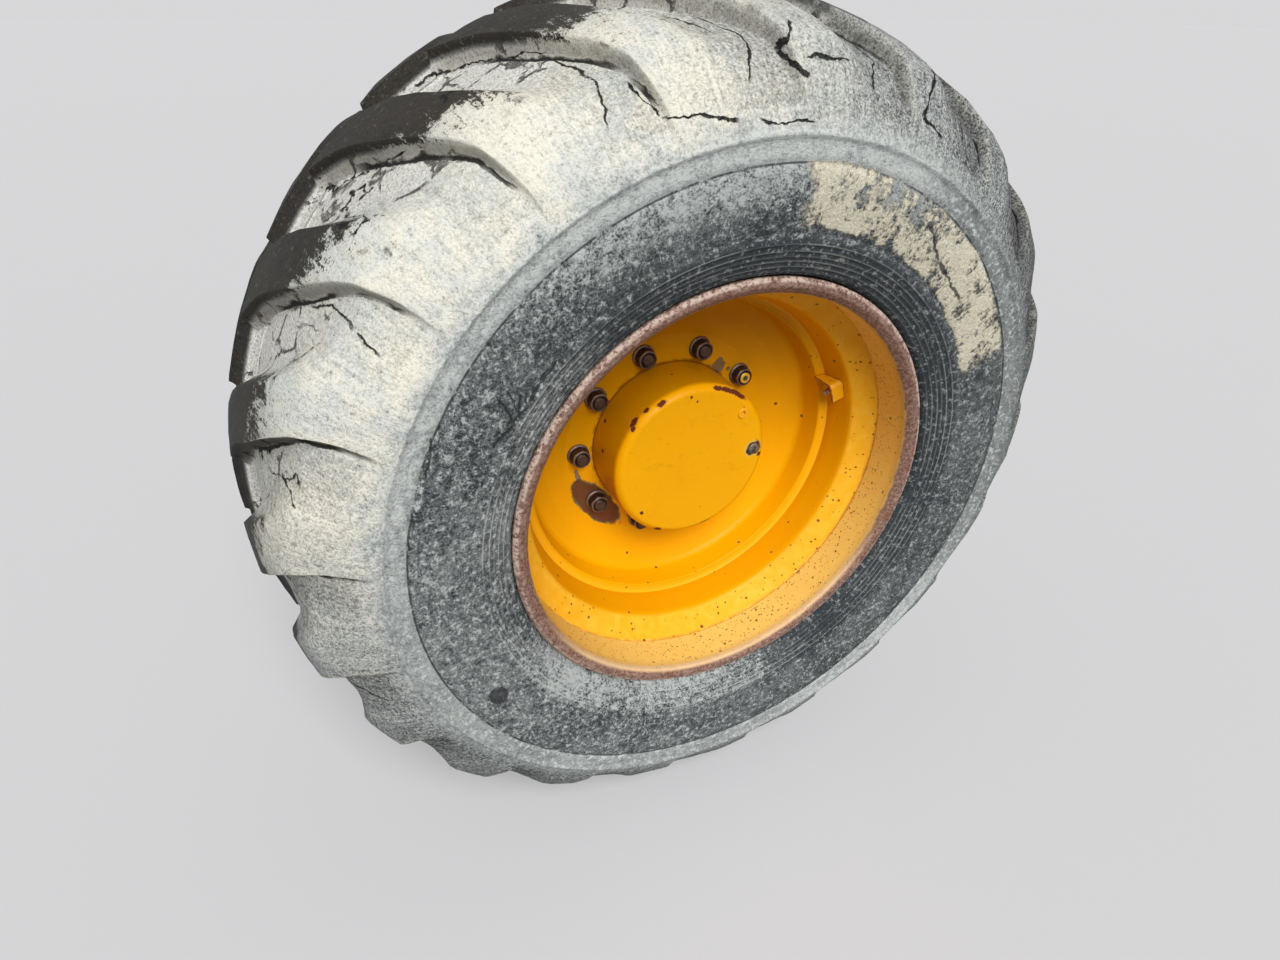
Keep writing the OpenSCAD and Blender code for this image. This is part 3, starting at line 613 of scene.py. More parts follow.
def disc_finish(settings):
    """The disc: smooth paint, with a rust patch and primer showing round some of the nuts."""
    f = Finish("disc_paint")
    colour, fine, peel = paint_colour(f, settings)
    face = DISC_FACE - RIM_FACE
    patch = f.spot(217.0, 0.172, face, (0.062, 0.0235, 0.05), 0.26, 55)
    primer = f.spot(217.0, 0.172, face, (0.068, 0.0262, 0.05), 0.36, 60)
    for degrees, radius, long, wide in ((50.5, 0.1525, 0.013, 0.012), (43.0, 0.158, 0.004, 0.004),
                                        (193.5, 0.1745, 0.016, 0.0045), (245.5, 0.163, 0.013, 0.0065),
                                        (290.0, 0.185, 0.004, 0.003)):
        primer = primer.either(f.spot(degrees, radius, face, (long, wide, 0.05), 0.85, 130))
    dark = f.spot(243.0, 0.154, face, (0.018, 0.0035, 0.05), 0.5, 90)
    rust = f.mix(f.noise(70, 4, 0.6), shade(92, 58, 34), shade(118, 76, 48))
    colour = f.mix(primer * 0.92, colour, f.mix(fine, shade(96, 80, 60), shade(146, 128, 98)))
    colour = f.mix(patch, colour, rust)
    colour = f.mix(dark * 0.9, colour, shade(54, 34, 22))
    ring = f.spot(217.0, 0.172, face, (0.0648, 0.0250, 0.05), 0.26, 55) * (1.0 - patch)
    colour = f.mix(ring * 0.75, colour, shade(58, 38, 24))

    # The upper part of the disc is made darker: painted shade from the rim above.
    colour = f.tone(colour, 1.0 - f.sector(98, 50, 45) * 0.20)
    seat = (f.radius - 0.1435).absolute().ease(0.0030, 0.0008)
    colour = f.mix(seat * fine.ease(0.40, 0.55) * 0.55, colour, shade(120, 68, 14))
    # The ring at the weld bead is painted lighter: a painted highlight on the bead.
    weld = f.radius.near(0.2795, 0.0045, 0.002)
    colour = f.mix(weld * 0.45, colour, shade(252, 180, 34))
    specks = rust_specks(f, 46, 0.14, 0.16).either(rust_specks(f, 90, 0.20, 0.10) * f.radius.ease(0.255, 0.262))
    colour = f.mix(specks * 0.9, colour, tuple(settings.rust))
    bare = patch.either(specks)
    rough = 0.38 + bare * 0.30 + primer * 0.14 + (fine - 0.5) * 0.12
    lift = peel * 0.22 + fine * 0.30 - primer * 0.9 - patch * 0.6 - specks * 0.8
    return f.set(base_color=colour, roughness=rough, normal=f.bump(lift, 0.0008, 0.75), specular_ior_level=0.10)


COVER_CHIPS = (
    # Clock angle, radius, place inwards, half length round the wheel, outwards and along
    (55.0, 0.1345, 0.141, 0.018, 0.0040, 0.008),
    (65.0, 0.1340, 0.141, 0.016, 0.0036, 0.006),
    (73.5, 0.1340, 0.141, 0.008, 0.0030, 0.006),
    (116.5, 0.1365, 0.142, 0.0075, 0.005, 0.004),
    (127.0, 0.1400, 0.150, 0.0060, 0.005, 0.004),
    (138.0, 0.1395, 0.153, 0.0090, 0.005, 0.006),
    (141.5, 0.1385, 0.146, 0.0050, 0.004, 0.004),
    (217.5, 0.1200, 0.138, 0.0036, 0.0030, 0.008),
    (242.0, 0.1345, 0.142, 0.0075, 0.0042, 0.006),
    (282.5, 0.1350, 0.142, 0.0150, 0.0042, 0.007),
    (290.0, 0.1372, 0.144, 0.0070, 0.0040, 0.005),
    (1.5, 0.1225, 0.138, 0.0100, 0.0045, 0.008),
    (354.0, 0.1300, 0.140, 0.0035, 0.0060, 0.006),
    (95.0, 0.1240, 0.138, 0.0022, 0.0022, 0.006),
    (90.0, 0.1140, 0.138, 0.0018, 0.0018, 0.006),
    (170.0, 0.1400, 0.200, 0.0030, 0.004, 0.004),
    (152.0, 0.1400, 0.222, 0.0035, 0.004, 0.003),
)


def cover_finish(settings):
    """The hub cover: glossy paint, chipped to rust along its rounded edge."""
    f = Finish("cover_paint")
    colour, fine, peel = paint_colour(f, settings)
    chips = None
    halo = None
    for degrees, radius, inward, around, out, along in COVER_CHIPS:
        chip = f.spot(degrees, radius, inward, (around, out, along), 0.80, 230)
        ring = f.spot(degrees, radius, inward, (around * 1.25, out * 1.35, along * 1.3), 0.80, 230)
        chips = chip if chips is None else chips.either(chip)
        halo = ring if halo is None else halo.either(ring)
    specks = rust_specks(f, 60, 0.10, 0.10)
    chips = chips.either(specks)
    # The cover's side, deep inside the rim, is made darker: painted shade.
    colour = f.tone(colour, 1.0 - f.inward.ease(0.146, 0.158) * 0.34)
    seam = f.inward.ease(0.2345, 0.2375)
    colour = f.mix(seam * (0.2 + 0.5 * fine), colour, shade(120, 68, 16))
    plug_place = (0.8, 0.1148, COVER_FACE - RIM_FACE)
    chalk = f.spot(*plug_place, (0.0165, 0.0180, 0.03), 0.35, 90)
    colour = f.mix(chalk * 0.7, colour, shade(212, 178, 84))
    metal = f.spot(*plug_place, (0.0128, 0.0145, 0.03), 0.45, 110)
    tarnish = f.noise(120, 3, 0.7).ease(0.42, 0.58)
    colour = f.mix(metal, colour, f.mix(tarnish, shade(48, 50, 48), shade(124, 120, 92)))
    soil = f.noise(34, 5, 0.7, distort=1.2).ease(0.56, 0.74) * f.inward.ease(0.150, 0.139)
    colour = f.mix(soil * 0.28, colour, shade(176, 110, 22))
    colour = f.mix(halo * 0.55, colour, shade(188, 120, 40))
    rust = f.mix(f.noise(160, 3, 0.6), shade(66, 26, 14), shade(118, 58, 30))
    colour = f.mix(chips, colour, rust)
    scratches = f.noise(1.0, 2, 0.5, at=f.vector(f.x * 30 + f.z * 60, f.y * 30, f.z * 14)).near(0.5, 0.0025, 0.003)
    scratches = scratches * f.noise(18, 2).ease(0.56, 0.62)
    colour = f.mix(scratches * 0.25, colour, shade(190, 112, 6))
    rough = 0.34 + chips * 0.36 + (fine - 0.5) * 0.12
    lift = peel * 0.22 + fine * 0.3 - chips * 1.5 - halo * 0.5 - scratches * 0.3
    return f.set(base_color=colour, roughness=rough, normal=f.bump(lift, 0.0008, 0.8), specular_ior_level=0.12)


def plug_finish(settings):
    """The cover's plugs: one bare, dark and rusty, the other under the cover's paint."""
    f = Finish("plug_steel")
    paint, fine, peel = paint_colour(f, settings)
    steel = f.mix(fine.ease(0.40, 0.62), shade(52, 44, 38), shade(122, 112, 98))
    steel = f.mix(f.noise(180, 4, 0.7).ease(0.60, 0.70) * 0.7, steel, shade(176, 120, 48))
    painted = f.sector(40.6, 12, 3)
    colour = f.mix(painted, steel, paint)
    lift = fine * 0.6 + peel * 0.3
    return f.set(base_color=colour, roughness=0.40 + fine * 0.2, metallic=(1.0 - painted) * 0.5,
                 normal=f.bump(lift, 0.0006, 0.8))


def guard_finish(settings):
    """The valve's plate: paint worn to rust along its edges."""
    f = Finish("guard_paint")
    colour, fine, peel = paint_colour(f, settings)
    worn = f.attribute("edge")
    rust = (worn + (f.noise(130, 4, 0.7) - 0.5) * 0.9).ease(0.62, 0.74)
    specks = rust_specks(f, 120, 0.22, 0.25)
    rust = rust.either(specks)
    colour = f.mix(rust, colour, f.mix(fine, shade(96, 50, 22), shade(150, 88, 44)))
    lift = peel * 0.2 + fine * 0.3 - rust * 1.2
    return f.set(base_color=colour, roughness=0.42 + rust * 0.3, normal=f.bump(lift, 0.0008, 0.8))


def fastener_finish(settings, name, painted=False):
    """Dark oiled steel with brown rust blotches, lighter worn edges, and yellow paint on one stud end."""
    f = Finish(name)
    blotch = f.noise(140, 4, 0.65)
    fine = f.noise(420, 3, 0.7)
    colour = f.mix(blotch.ease(0.36, 0.66), tuple(settings.steel), shade(72, 52, 42))
    colour = f.mix(fine.ease(0.60, 0.74) * 0.4, colour, shade(132, 108, 92))
    worn = f.attribute("edge")
    colour = f.mix(worn.ease(0.55, 0.9) * blotch * 0.8, colour, shade(172, 150, 134))
    if painted:
        end = (f.y - STUD_END).ease(0.0016, 0.0006)
        chosen = f.sector(math.degrees(settings.clock), 7, 2)
        angle = settings.clock
        east = f.x - settings.circle_r * math.cos(angle)
        north = f.z - settings.circle_r * math.sin(angle)
        rim = ((east * east + north * north) ** 0.5 + (fine - 0.5) * 0.004).ease(0.0042, 0.0056)
        colour = f.mix(end * (1.0 - chosen) * blotch * 0.5, colour, shade(118, 92, 74))
        colour = f.mix(end * chosen, colour, f.mix(rim, shade(72, 74, 52), shade(228, 184, 58)))
    rough = 0.42 + blotch * 0.25
    lift = blotch * 0.6 + fine * 0.4
    return f.set(base_color=colour, roughness=rough, metallic=0.55, normal=f.bump(lift, 0.0006, 0.8))


def turned_steel_finish(name, base, brown):
    """Turned steel with fine tool rings, a film of oil and a little brown tarnish."""
    f = Finish(name)
    rings = f.noise(1.0, 2, 0.5, at=f.vector(f.y * 900, f.radius * 900, 0.0))
    stain = f.noise(26, 4, 0.65)
    colour = f.mix(stain.ease(0.42, 0.70) * 0.75, base, brown)
    colour = f.mix(f.noise(160, 3, 0.7).ease(0.58, 0.70) * 0.35, colour, shade(70, 56, 48))
    rough = 0.30 + stain * 0.25 + (rings - 0.5) * 0.1
    return f.set(base_color=colour, roughness=rough, metallic=0.85,
                 normal=f.bump(rings * 0.5 + stain * 0.3, 0.0004, 0.6))


def casting_finish(name, base, dirt, dirt_share):
    """Sand-cast iron with a pebbled skin, rust, and dried dirt lying on top of it."""
    f = Finish(name)
    pebble = f.noise(240, 3, 0.6)
    lump = f.noise(42, 4, 0.6)
    flat = f.node("ShaderNodeNewGeometry", None, None, 1)
    up = f.node("ShaderNodeSeparateXYZ", None, {0: flat}, 2)
    lying = (up * 0.5 + 0.5 + (lump - 0.5) * 1.6).ease(0.62, 1.15) * dirt_share
    colour = f.mix(lump.ease(0.35, 0.7), base, tuple(c * 1.7 for c in base))
    rust = f.noise(70, 5, 0.7, distort=0.7).ease(0.60, 0.72)
    colour = f.mix(rust * 0.7, colour, shade(104, 62, 38))
    colour = f.mix((lying * (0.6 + 0.6 * pebble)).clamped(), colour, dirt)
    lift = pebble * 0.6 + lump * 0.8 - rust * 0.5 + lying * 0.6
    return f.set(base_color=colour, roughness=0.55 + lying.clamped() * 0.3, normal=f.bump(lift, 0.0012, 0.9),
                 specular_ior_level=0.4)


def seal_finish():
    """Black seal rubber with a greasy film."""
    f = Finish("seal_rubber")
    film = f.noise(60, 3, 0.6)
    colour = f.mix(film.ease(0.4, 0.7), shade(24, 24, 25), shade(52, 46, 40))
    return f.set(base_color=colour, roughness=0.35 + film * 0.3, normal=f.bump(film, 0.0004, 0.5))


# Mesh helpers

def smooth_sharp(mesh, degrees):
    """Smooth shading, with the edges sharper than an angle left sharp."""
    mesh.polygons.foreach_set("use_smooth", [True] * len(mesh.polygons))
    mesh.set_sharp_from_angle(angle=math.radians(degrees))


def placed(name, data):
    """A new object in the scene."""
    made = bpy.data.objects.new(name, data)
    bpy.context.scene.collection.objects.link(made)
    return made


def written(build, mesh):
    """Writes an edited mesh back and frees the edit."""
    build.to_mesh(mesh)
    build.free()


def add_object(name, mesh, finish, body, slot, *stands_for):
    """A finished piece: given its finish, put on its body, and shown in place of the CAD nodes it stands for."""
    piece = placed(name, mesh)
    mesh.materials.clear()
    mesh.materials.append(finish)
    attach(piece, body)
    if stands_for:
        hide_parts(*stands_for)
    return piece


def dressed_copy(node, finish, body, slot, degrees=34, bevel=0.0, wear=0.0):
    """A merged and smoothly shaded copy of a CAD node, with its sharp corners slightly rounded.

    With a wear length, the mesh is cut finer and stores how near each point is to a sharp edge."""
    mesh = NODES[node].data.copy()
    mesh.name = node + "_dressed"
    build = bmesh.new()
    build.from_mesh(mesh)
    bmesh.ops.remove_doubles(build, verts=build.verts, dist=MERGE)
    bmesh.ops.dissolve_limit(build, angle_limit=math.radians(0.3), verts=build.verts, edges=build.edges,
                             delimit={"NORMAL"})
    if wear:
        mark_edges(build, wear)
    written(build, mesh)
    smooth_sharp(mesh, degrees)
    piece = add_object(node + "_dressed", mesh, finish, body, slot, node)
    if bevel and not wear:
        round_off = piece.modifiers.new("rounded corners", "BEVEL")
        round_off.width = bevel
        round_off.segments = 2
        round_off.limit_method = "ANGLE"
        round_off.angle_limit = SHARP
        round_off.harden_normals = True
    even = piece.modifiers.new("even shading", "WEIGHTED_NORMAL")
    even.keep_sharp = True
    return piece


# How often a mesh is cut finer at most, and the share of the wear length that its edges then have
MOST_CUTS = 6
CUT_SHARE = 0.7


def mark_edges(build, wear):
    """Cuts a mesh finer and stores, as "edge", 1 on a sharp edge falling to 0 a wear length from it."""
    ends = [[tuple(vertex.co) for vertex in edge.verts] for edge in build.edges
            if len(edge.link_faces) == 2 and edge.calc_face_angle(0.0) > SHARP]
    bmesh.ops.triangulate(build, faces=build.faces)
    for _ in range(MOST_CUTS):
        long = [edge for edge in build.edges if edge.calc_length() > wear * CUT_SHARE]
        if not long:
            break
        bmesh.ops.subdivide_edges(build, edges=long, cuts=1)
        bmesh.ops.triangulate(build, faces=build.faces)
    points = np.array([tuple(vertex.co) for vertex in build.verts])[:, None]
    start, end = np.array(ends)[:, 0], np.array(ends)[:, 1]
    along = end - start
    part = np.clip(((points - start) * along).sum(2) / (along * along).sum(1), 0, 1)
    away = np.linalg.norm(points - start - part[..., None] * along, axis=2).min(1)
    layer = build.verts.layers.float.new("edge")
    for vertex, distance in zip(build.verts, away):
        vertex[layer] = max(0.0, 1.0 - distance / wear)


def lathe(name, profile, sides, edge_rows=(), wobble=None):
    """A closed mesh turned about the Y axis from an outline of (radius, place) that starts and ends at one
    place or on the axis. The points of edge_rows are marked as edges. wobble, if given, changes a radius
    round the turn: it takes the radius and the angle."""
    rows = len(profile)
    points = []
    for radius, place in profile:
        for side in range(sides):
            angle = 2 * math.pi * side / sides
            wide = wobble(radius, angle) if wobble else radius
            points.append((wide * math.cos(angle), place, wide * math.sin(angle)))
    faces = []
    for row in range(rows - 1):
        for side in range(sides):
            after = (side + 1) % sides
            faces.append((row * sides + side, (row + 1) * sides + side,
                          (row + 1) * sides + after, row * sides + after))
    mesh = bpy.data.meshes.new(name)
    mesh.from_pydata(points, [], faces)
    layer = mesh.attributes.new("edge", "FLOAT", "POINT")
    layer.data.foreach_set("value", [1.0 if i // sides in edge_rows else 0.0 for i in range(len(points))])
    build = bmesh.new()
    build.from_mesh(mesh)
    bmesh.ops.remove_doubles(build, verts=build.verts, dist=1e-7)
    bmesh.ops.recalc_face_normals(build, faces=build.faces)
    written(build, mesh)
    return mesh


def grown(name, mesh, build_tree, inputs):
    """The plain mesh that a Geometry Nodes tree makes from a mesh. inputs are (name, socket type, value)."""
    tree = bpy.data.node_groups.new(name, "GeometryNodeTree")
    tree.interface.new_socket("Geometry", in_out="OUTPUT", socket_type="NodeSocketGeometry")
    tree.interface.new_socket("Geometry", in_out="INPUT", socket_type="NodeSocketGeometry")
    for label, kind, _ in inputs:
        tree.interface.new_socket(label, in_out="INPUT", socket_type=kind)
    graph = Graph(tree)
    entry = tree.nodes.new("NodeGroupInput")
    given = {socket.name: Value(graph, socket) for socket in entry.outputs if socket.name}
    last = tree.nodes.new("NodeGroupOutput")
    tree.links.new(build_tree(graph, given).socket, last.inputs[0])

    carrier = placed(name, mesh)
    modifier = carrier.modifiers.new(name, "NODES")
    modifier.node_group = tree
    values = {label: value for label, _, value in inputs}
    for item in tree.interface.items_tree:
        if item.in_out == "INPUT" and item.name in values:
            modifier[item.identifier] = values[item.name]
    bpy.context.view_layer.update()
    graph_view = bpy.context.evaluated_depsgraph_get()
    made = bpy.data.meshes.new_from_object(
        carrier.evaluated_get(graph_view), preserve_all_data_layers=True, depsgraph=graph_view)
    carrier.modifiers.remove(modifier)
    bpy.data.objects.remove(carrier)
    made.name = name
    return made


def finished(graph, made, given):
    """The end of every tree: real geometry with its finish."""
    real = graph.node("GeometryNodeRealizeInstances", None, {"Geometry": made})
    return graph.node("GeometryNodeSetMaterial", None, {"Geometry": real, "Material": given["Finish"]})


def circle_of(graph, given, spin=None):
    """Instances of the input mesh round the axle line: a Count of them from a Clock angle at a Radius."""
    index = graph.node("GeometryNodeInputIndex")
    angle = index * (2 * math.pi) / given["Count"] + given["Clock"]
    place = graph.node("ShaderNodeCombineXYZ", None, {
        0: angle.math("COSINE") * given["Radius"], 1: given["Place"], 2: angle.math("SINE") * given["Radius"]})
    points = graph.node("GeometryNodePoints", None, {"Count": given["Count"], "Position": place})
    own = -angle if spin is None else -angle + index * spin
    turn = graph.node("ShaderNodeCombineXYZ", None, {0: 0.0, 1: own, 2: 0.0})
    made = graph.node("GeometryNodeInstanceOnPoints", None, {
        "Points": points, "Instance": given["Geometry"], "Rotation": turn})
    return finished(graph, made, given)


CIRCLE_INPUTS = (("Count", "NodeSocketInt"), ("Clock", "NodeSocketFloat"), ("Radius", "NodeSocketFloat"),
                 ("Place", "NodeSocketFloat"), ("Finish", "NodeSocketMaterial"))


def ring_of(name, mesh, values, spin=None):
    """The plain mesh of a circle of like pieces."""
    inputs = [(label, kind, value) for (label, kind), value in zip(CIRCLE_INPUTS, values)]
    return grown(name, mesh, lambda graph, given: circle_of(graph, given, spin), inputs)


# Tyre

# Radii of the thin rings above the bead, and how much dust each carries
RING_RADII = (0.3572, 0.3640, 0.3715, 0.3780, 0.3852, 0.3945)
RING_DUST = (0.45, 0.75, 0.8, 0.5, 1.0, 1.0)
# Scratches: clock angle and radius of both ends, and half the width
SCRATCHES = (
    (133.3, 0.4093, 141.4, 0.4027, 0.0024),
    (141.4, 0.4027, 150.8, 0.4172, 0.0020),
    (142.5, 0.4405, 146.4, 0.4008, 0.0015),
    (141.1, 0.4363, 144.7, 0.3980, 0.0012),
    (140.9, 0.4223, 145.0, 0.4007, 0.0014),
    (140.2, 0.4157, 143.1, 0.4007, 0.0011),
    (147.0, 0.4330, 148.5, 0.4060, 0.0007),
    (151.0, 0.4890, 157.4, 0.4830, 0.0011),
    (59.7, 0.4635, 51.9, 0.4395, 0.0025),
    (51.9, 0.4395, 40.4, 0.4354, 0.0024),
    (12.5, 0.4703, 7.2, 0.4718, 0.0012),
)
# Long cracks in the shoulder's mud, given in the same way
MUD_CRACKS = (
    (137.3, 0.6461, 132.0, 0.6394, 0.0010),
    (132.0, 0.6394, 127.5, 0.6350, 0.0008),
    (136.7, 0.6360, 132.4, 0.6326, 0.0008),
    (122.1, 0.6512, 118.0, 0.6462, 0.0011),
    (118.0, 0.6462, 110.8, 0.6339, 0.0010),
    (159.9, 0.6394, 162.0, 0.6294, 0.0016),
    (162.0, 0.6294, 167.3, 0.6407, 0.0013),
    (163.5, 0.6125, 165.5, 0.6050, 0.0010),
    (106.5, 0.5932, 104.9, 0.5609, 0.0018),
    (104.9, 0.5609, 96.5, 0.5377, 0.0013),
    (93.7, 0.5328, 86.1, 0.5293, 0.0014),
    (87.2, 0.6248, 88.8, 0.5947, 0.0021),
    (88.8, 0.5947, 86.4, 0.5726, 0.0024),
    (86.3, 0.5900, 80.0, 0.5946, 0.0013),
    (65.9, 0.6271, 68.4, 0.5632, 0.0018),
    (68.4, 0.5632, 64.4, 0.5553, 0.0022),
    (45.4, 0.6035, 44.0, 0.5700, 0.0022),
)

# The lugged skin from the ring to the crown: share of the section's height, share of half its width,
# depth of the tread, share of the lug's sweep, and the phases of a lug's foot, ramp start and ramp top
SKIN = np.array((
    (0.440, 0.0090, 0.000, 0.00, 0.10, 0.30, 0.70),
    (0.535, 0.0085, 0.000, 0.00, 0.06, 0.24, 0.66),
    (0.601, 0.023, 0.003, 0.00, 0.040, 0.16, 0.66),
    (0.666, 0.055, 0.006, 0.00, 0.040, 0.16, 0.65),
    (0.728, 0.103, 0.010, 0.02, 0.040, 0.18, 0.64),
    (0.790, 0.152, 0.015, 0.06, 0.040, 0.22, 0.63),
    (0.843, 0.210, 0.019, 0.11, 0.045, 0.28, 0.62),
    (0.900, 0.337, 0.023, 0.26, 0.045, 0.34, 0.61),
    (0.950, 0.537, 0.026, 0.49, 0.045, 0.40, 0.60),
    (0.985, 0.770, 0.028, 0.72, 0.045, 0.45, 0.59),
    (1.000, 0.960, 0.029, 1.00, 0.050, 0.48, 0.58),
))
# Rows made between two rows of the table, and how low the ring at the lugs' ends starts
LUG_STEPS = 5
RING_LIFT = 0.0026
# Columns over half a pitch, close together at a lug's sharp wall
COLUMNS = (-0.020, -0.008, 0.003, 0.012, 0.022, 0.032, 0.043, 0.058, 0.095, 0.160, 0.235, 0.315, 0.390, 0.445)


def flowing(table, at):
    """A table's columns at places between its rows, on Catmull-Rom curves."""
    row = np.clip(np.floor(at).astype(int), 0, len(table) - 2)
    part = (at - row)[:, None]
    before, here = table[np.maximum(row - 1, 0)], table[row]
    after, beyond = table[row + 1], table[np.minimum(row + 2, len(table) - 1)]
    return 0.5 * (2 * here + (after - before) * part + (2 * before - 5 * here + 4 * after - beyond) * part ** 2
                  + (3 * here - before - 3 * after + beyond) * part ** 3)


def sidewall(rings):
    """Stations (radius, place) of a sidewall from the bead to the ring at the lugs' ends, with thin rings."""
    reach = TYRE_R - SEAT_R
    half = TYRE_W / 2
    face = TYRE_FACE - RIM_FACE
    knots = np.array((
        (FLANGE_R + 0.0012, 0.0115), (FLANGE_R + 0.0030, 0.0045), (FLANGE_R + 0.0080, -0.0015),
        (SEAT_R + 0.115 * reach, face + 0.068 * half), (SEAT_R + 0.190 * reach, face + 0.040 * half),
        (SEAT_R + 0.350 * reach, face + 0.012 * half), (SEAT_R + 0.440 * reach, face + 0.0092 * half),
        (SEAT_R + 0.5285 * reach, face + RING_LIFT),
    ))
    fine = flowing(knots, np.linspace(0, len(knots) - 1, 400))
    radii = [FLANGE_R + 0.0012, FLANGE_R + 0.0030, FLANGE_R + 0.0055, FLANGE_R + 0.0090]
    lifts = [0.0, 0.0, 0.0, 0.0]
    features = [(ring, 0.0008, 0.0008) for ring in rings] + [(BEAD_GROOVE, 0.0010, -0.0008),
                                                            (BAND_GROOVE, 0.0016, -0.0016)]
    for centre, half_wide, lift in features:
        radii += [centre - 2.2 * half_wide, centre - half_wide, centre + half_wide, centre + 2.2 * half_wide]
        lifts += [0.0, lift, lift, 0.0]
    for plain in (0.4175, 0.4285, 0.4400, 0.4520, 0.4640, 0.4760, 0.4980, 0.5070):
        radii.append(plain)
        lifts.append(0.0)
    order = np.argsort(radii)
    radii, lifts = np.array(radii)[order], np.array(lifts)[order]
    return np.stack((radii, np.interp(radii, fine[:, 0], fine[:, 1]) - lifts), 1)


def tyre_section(rib_drop):
    """Rows of the tyre's closed section: radius, place, depth, sweep, foot, start, top, half and station.

    A station is below 0 on the sidewall and inside, a row of SKIN on the lugs, and past 10 on the rib."""
    reach = TYRE_R - SEAT_R
    half = TYRE_W / 2
    face = TYRE_FACE - RIM_FACE
    plain = [0.0, 0.0, 0.06, 0.24, 0.66]
    rows = [[r, y] + plain + [0, -1.0] for r, y in sidewall(RING_RADII)]
    ring_r = SEAT_R + 0.535 * reach
    for offset, low in ((-0.0036, RING_LIFT), (-0.0014, 0.0), (0.0014, 0.0)):
        rows.append([ring_r + offset, face + low] + plain + [0, 0.8])
    at = np.linspace(1.08, len(SKIN) - 1, (len(SKIN) - 2) * LUG_STEPS + 1)
    skin = flowing(SKIN, at)
    for station, (high, across, depth, sweep, foot, start, top) in zip(at, skin):
        rows.append([SEAT_R + high * reach, face + across * half, max(depth, 0.0), sweep, foot, start, top,
                     0, station])
    crown = rows[-1]
    low_crown = [TYRE_R - rib_drop, face + half] + [0.0, 1.0] + crown[4:7]
    outer = rows
    rib_edge = [TYRE_R - rib_drop * 0.92, face + 0.982 * half] + [0.0, 1.0] + crown[4:7]
    inner = [[r, RIM_W - y, d, s, a, b, c, 1, station] for r, y, d, s, a, b, c, _, station in reversed(outer)]
    middle = [rib_edge + [0, 10.4], low_crown + [0, 10.5],
              [rib_edge[0], RIM_W - rib_edge[1]] + rib_edge[2:] + [1, 10.4]]
    liner = [(SEAT_R + 0.0150, 0.066), (SEAT_R + 0.306 * reach, face + 0.029), (SEAT_R + 0.542 * reach, face + 0.041),
             (TYRE_R - 0.090, face + 0.108), (TYRE_R - 0.063, face + 0.205)]
    under = [(FLANGE_R - 0.0020, 0.0155), (SEAT_R + 0.0007, 0.0230), (SEAT_R + 0.0007, 0.0720)]
    closing = [(r, RIM_W - y) for r, y in under] + [(r, RIM_W - y) for r, y in liner] \
        + list(reversed(liner)) + list(reversed(under))
    closed = [[r, y] + plain + [0, -2.0] for r, y in closing]
    return np.array(outer + middle + inner + closed)


def tread_cut(phase, foot, start, top):
    """Share of the tread's depth at a phase of the pitch: a steep wall, the floor, and a hollow ramp."""
    phase = phase % 1.0
    wall = np.clip(phase / foot, 0, 1)
    wall = wall * wall * (3 - 2 * wall)
    climb = np.clip((phase - start) / (top - start), 0, 1)
    ramp = climb ** 1.55 * (1 + 0.25 * (1 - climb))
    return np.where(phase < foot, wall, 1 - ramp)


def tyre_sector(settings):
    """One pitch of the tyre, with its height, phase and station stored for the finish."""
    rows = tyre_section(settings.rib_drop)
    pitch = 2 * math.pi / settings.lugs
    shares = np.array(COLUMNS + tuple(c + 0.5 for c in COLUMNS) + (COLUMNS[0] + 1.0,))
    n_rows, n_columns = len(rows), len(shares)

    crest = rows[:, 0:2]
    ahead, behind = np.roll(crest, -1, 0), np.roll(crest, 1, 0)
    tangent = ahead - behind
    tangent /= np.linalg.norm(tangent, axis=1)[:, None]
    outwards = np.stack((tangent[:, 1], -tangent[:, 0]), 1)

    points, heights, phases = [], [], []
    for row, out in zip(rows, outwards):
        radius, place, depth, sweep, foot, start, top, half, _ = row
        phase = (shares - 0.5 * half) % 1.0
        low = tread_cut(phase, foot, start, top) * depth
        wide = radius - low * out[0]
        angle = settings.clock + shares * pitch + sweep * settings.sweep
        points.append(np.stack((wide * np.cos(angle), RIM_FACE + place - low * out[1], wide * np.sin(angle)), 1))
        heights.append(1 - low / max(depth, 1e-6) if depth > 0.004 else np.ones(n_columns))
        phases.append(shares - 0.5 * half)
    points = np.concatenate(points)
    heights = np.concatenate(heights)

    faces, corners = [], []
    for row in range(n_rows):
        after = (row + 1) % n_rows
        for column in range(n_columns - 1):
            quad = (row * n_columns + column, after * n_columns + column,
                    after * n_columns + column + 1, row * n_columns + column + 1)
            faces.append(quad)
            middle = (phases[row][column] + phases[row][column + 1]) / 2
            turn = math.floor(middle)
            corners += [phases[i // n_columns if i // n_columns == row else row][i % n_columns] - turn for i in quad]
    mesh = bpy.data.meshes.new("tyre_sector")
    mesh.from_pydata(points.tolist(), [], faces)
    layer = mesh.attributes.new("height", "FLOAT", "POINT")
    layer.data.foreach_set("value", heights.astype(np.float32))
    layer = mesh.attributes.new("station", "FLOAT", "POINT")
    layer.data.foreach_set("value", np.repeat(rows[:, 8], n_columns).astype(np.float32))
    layer = mesh.attributes.new("phase", "FLOAT", "CORNER")
    layer.data.foreach_set("value", np.array(corners, np.float32))
    return mesh


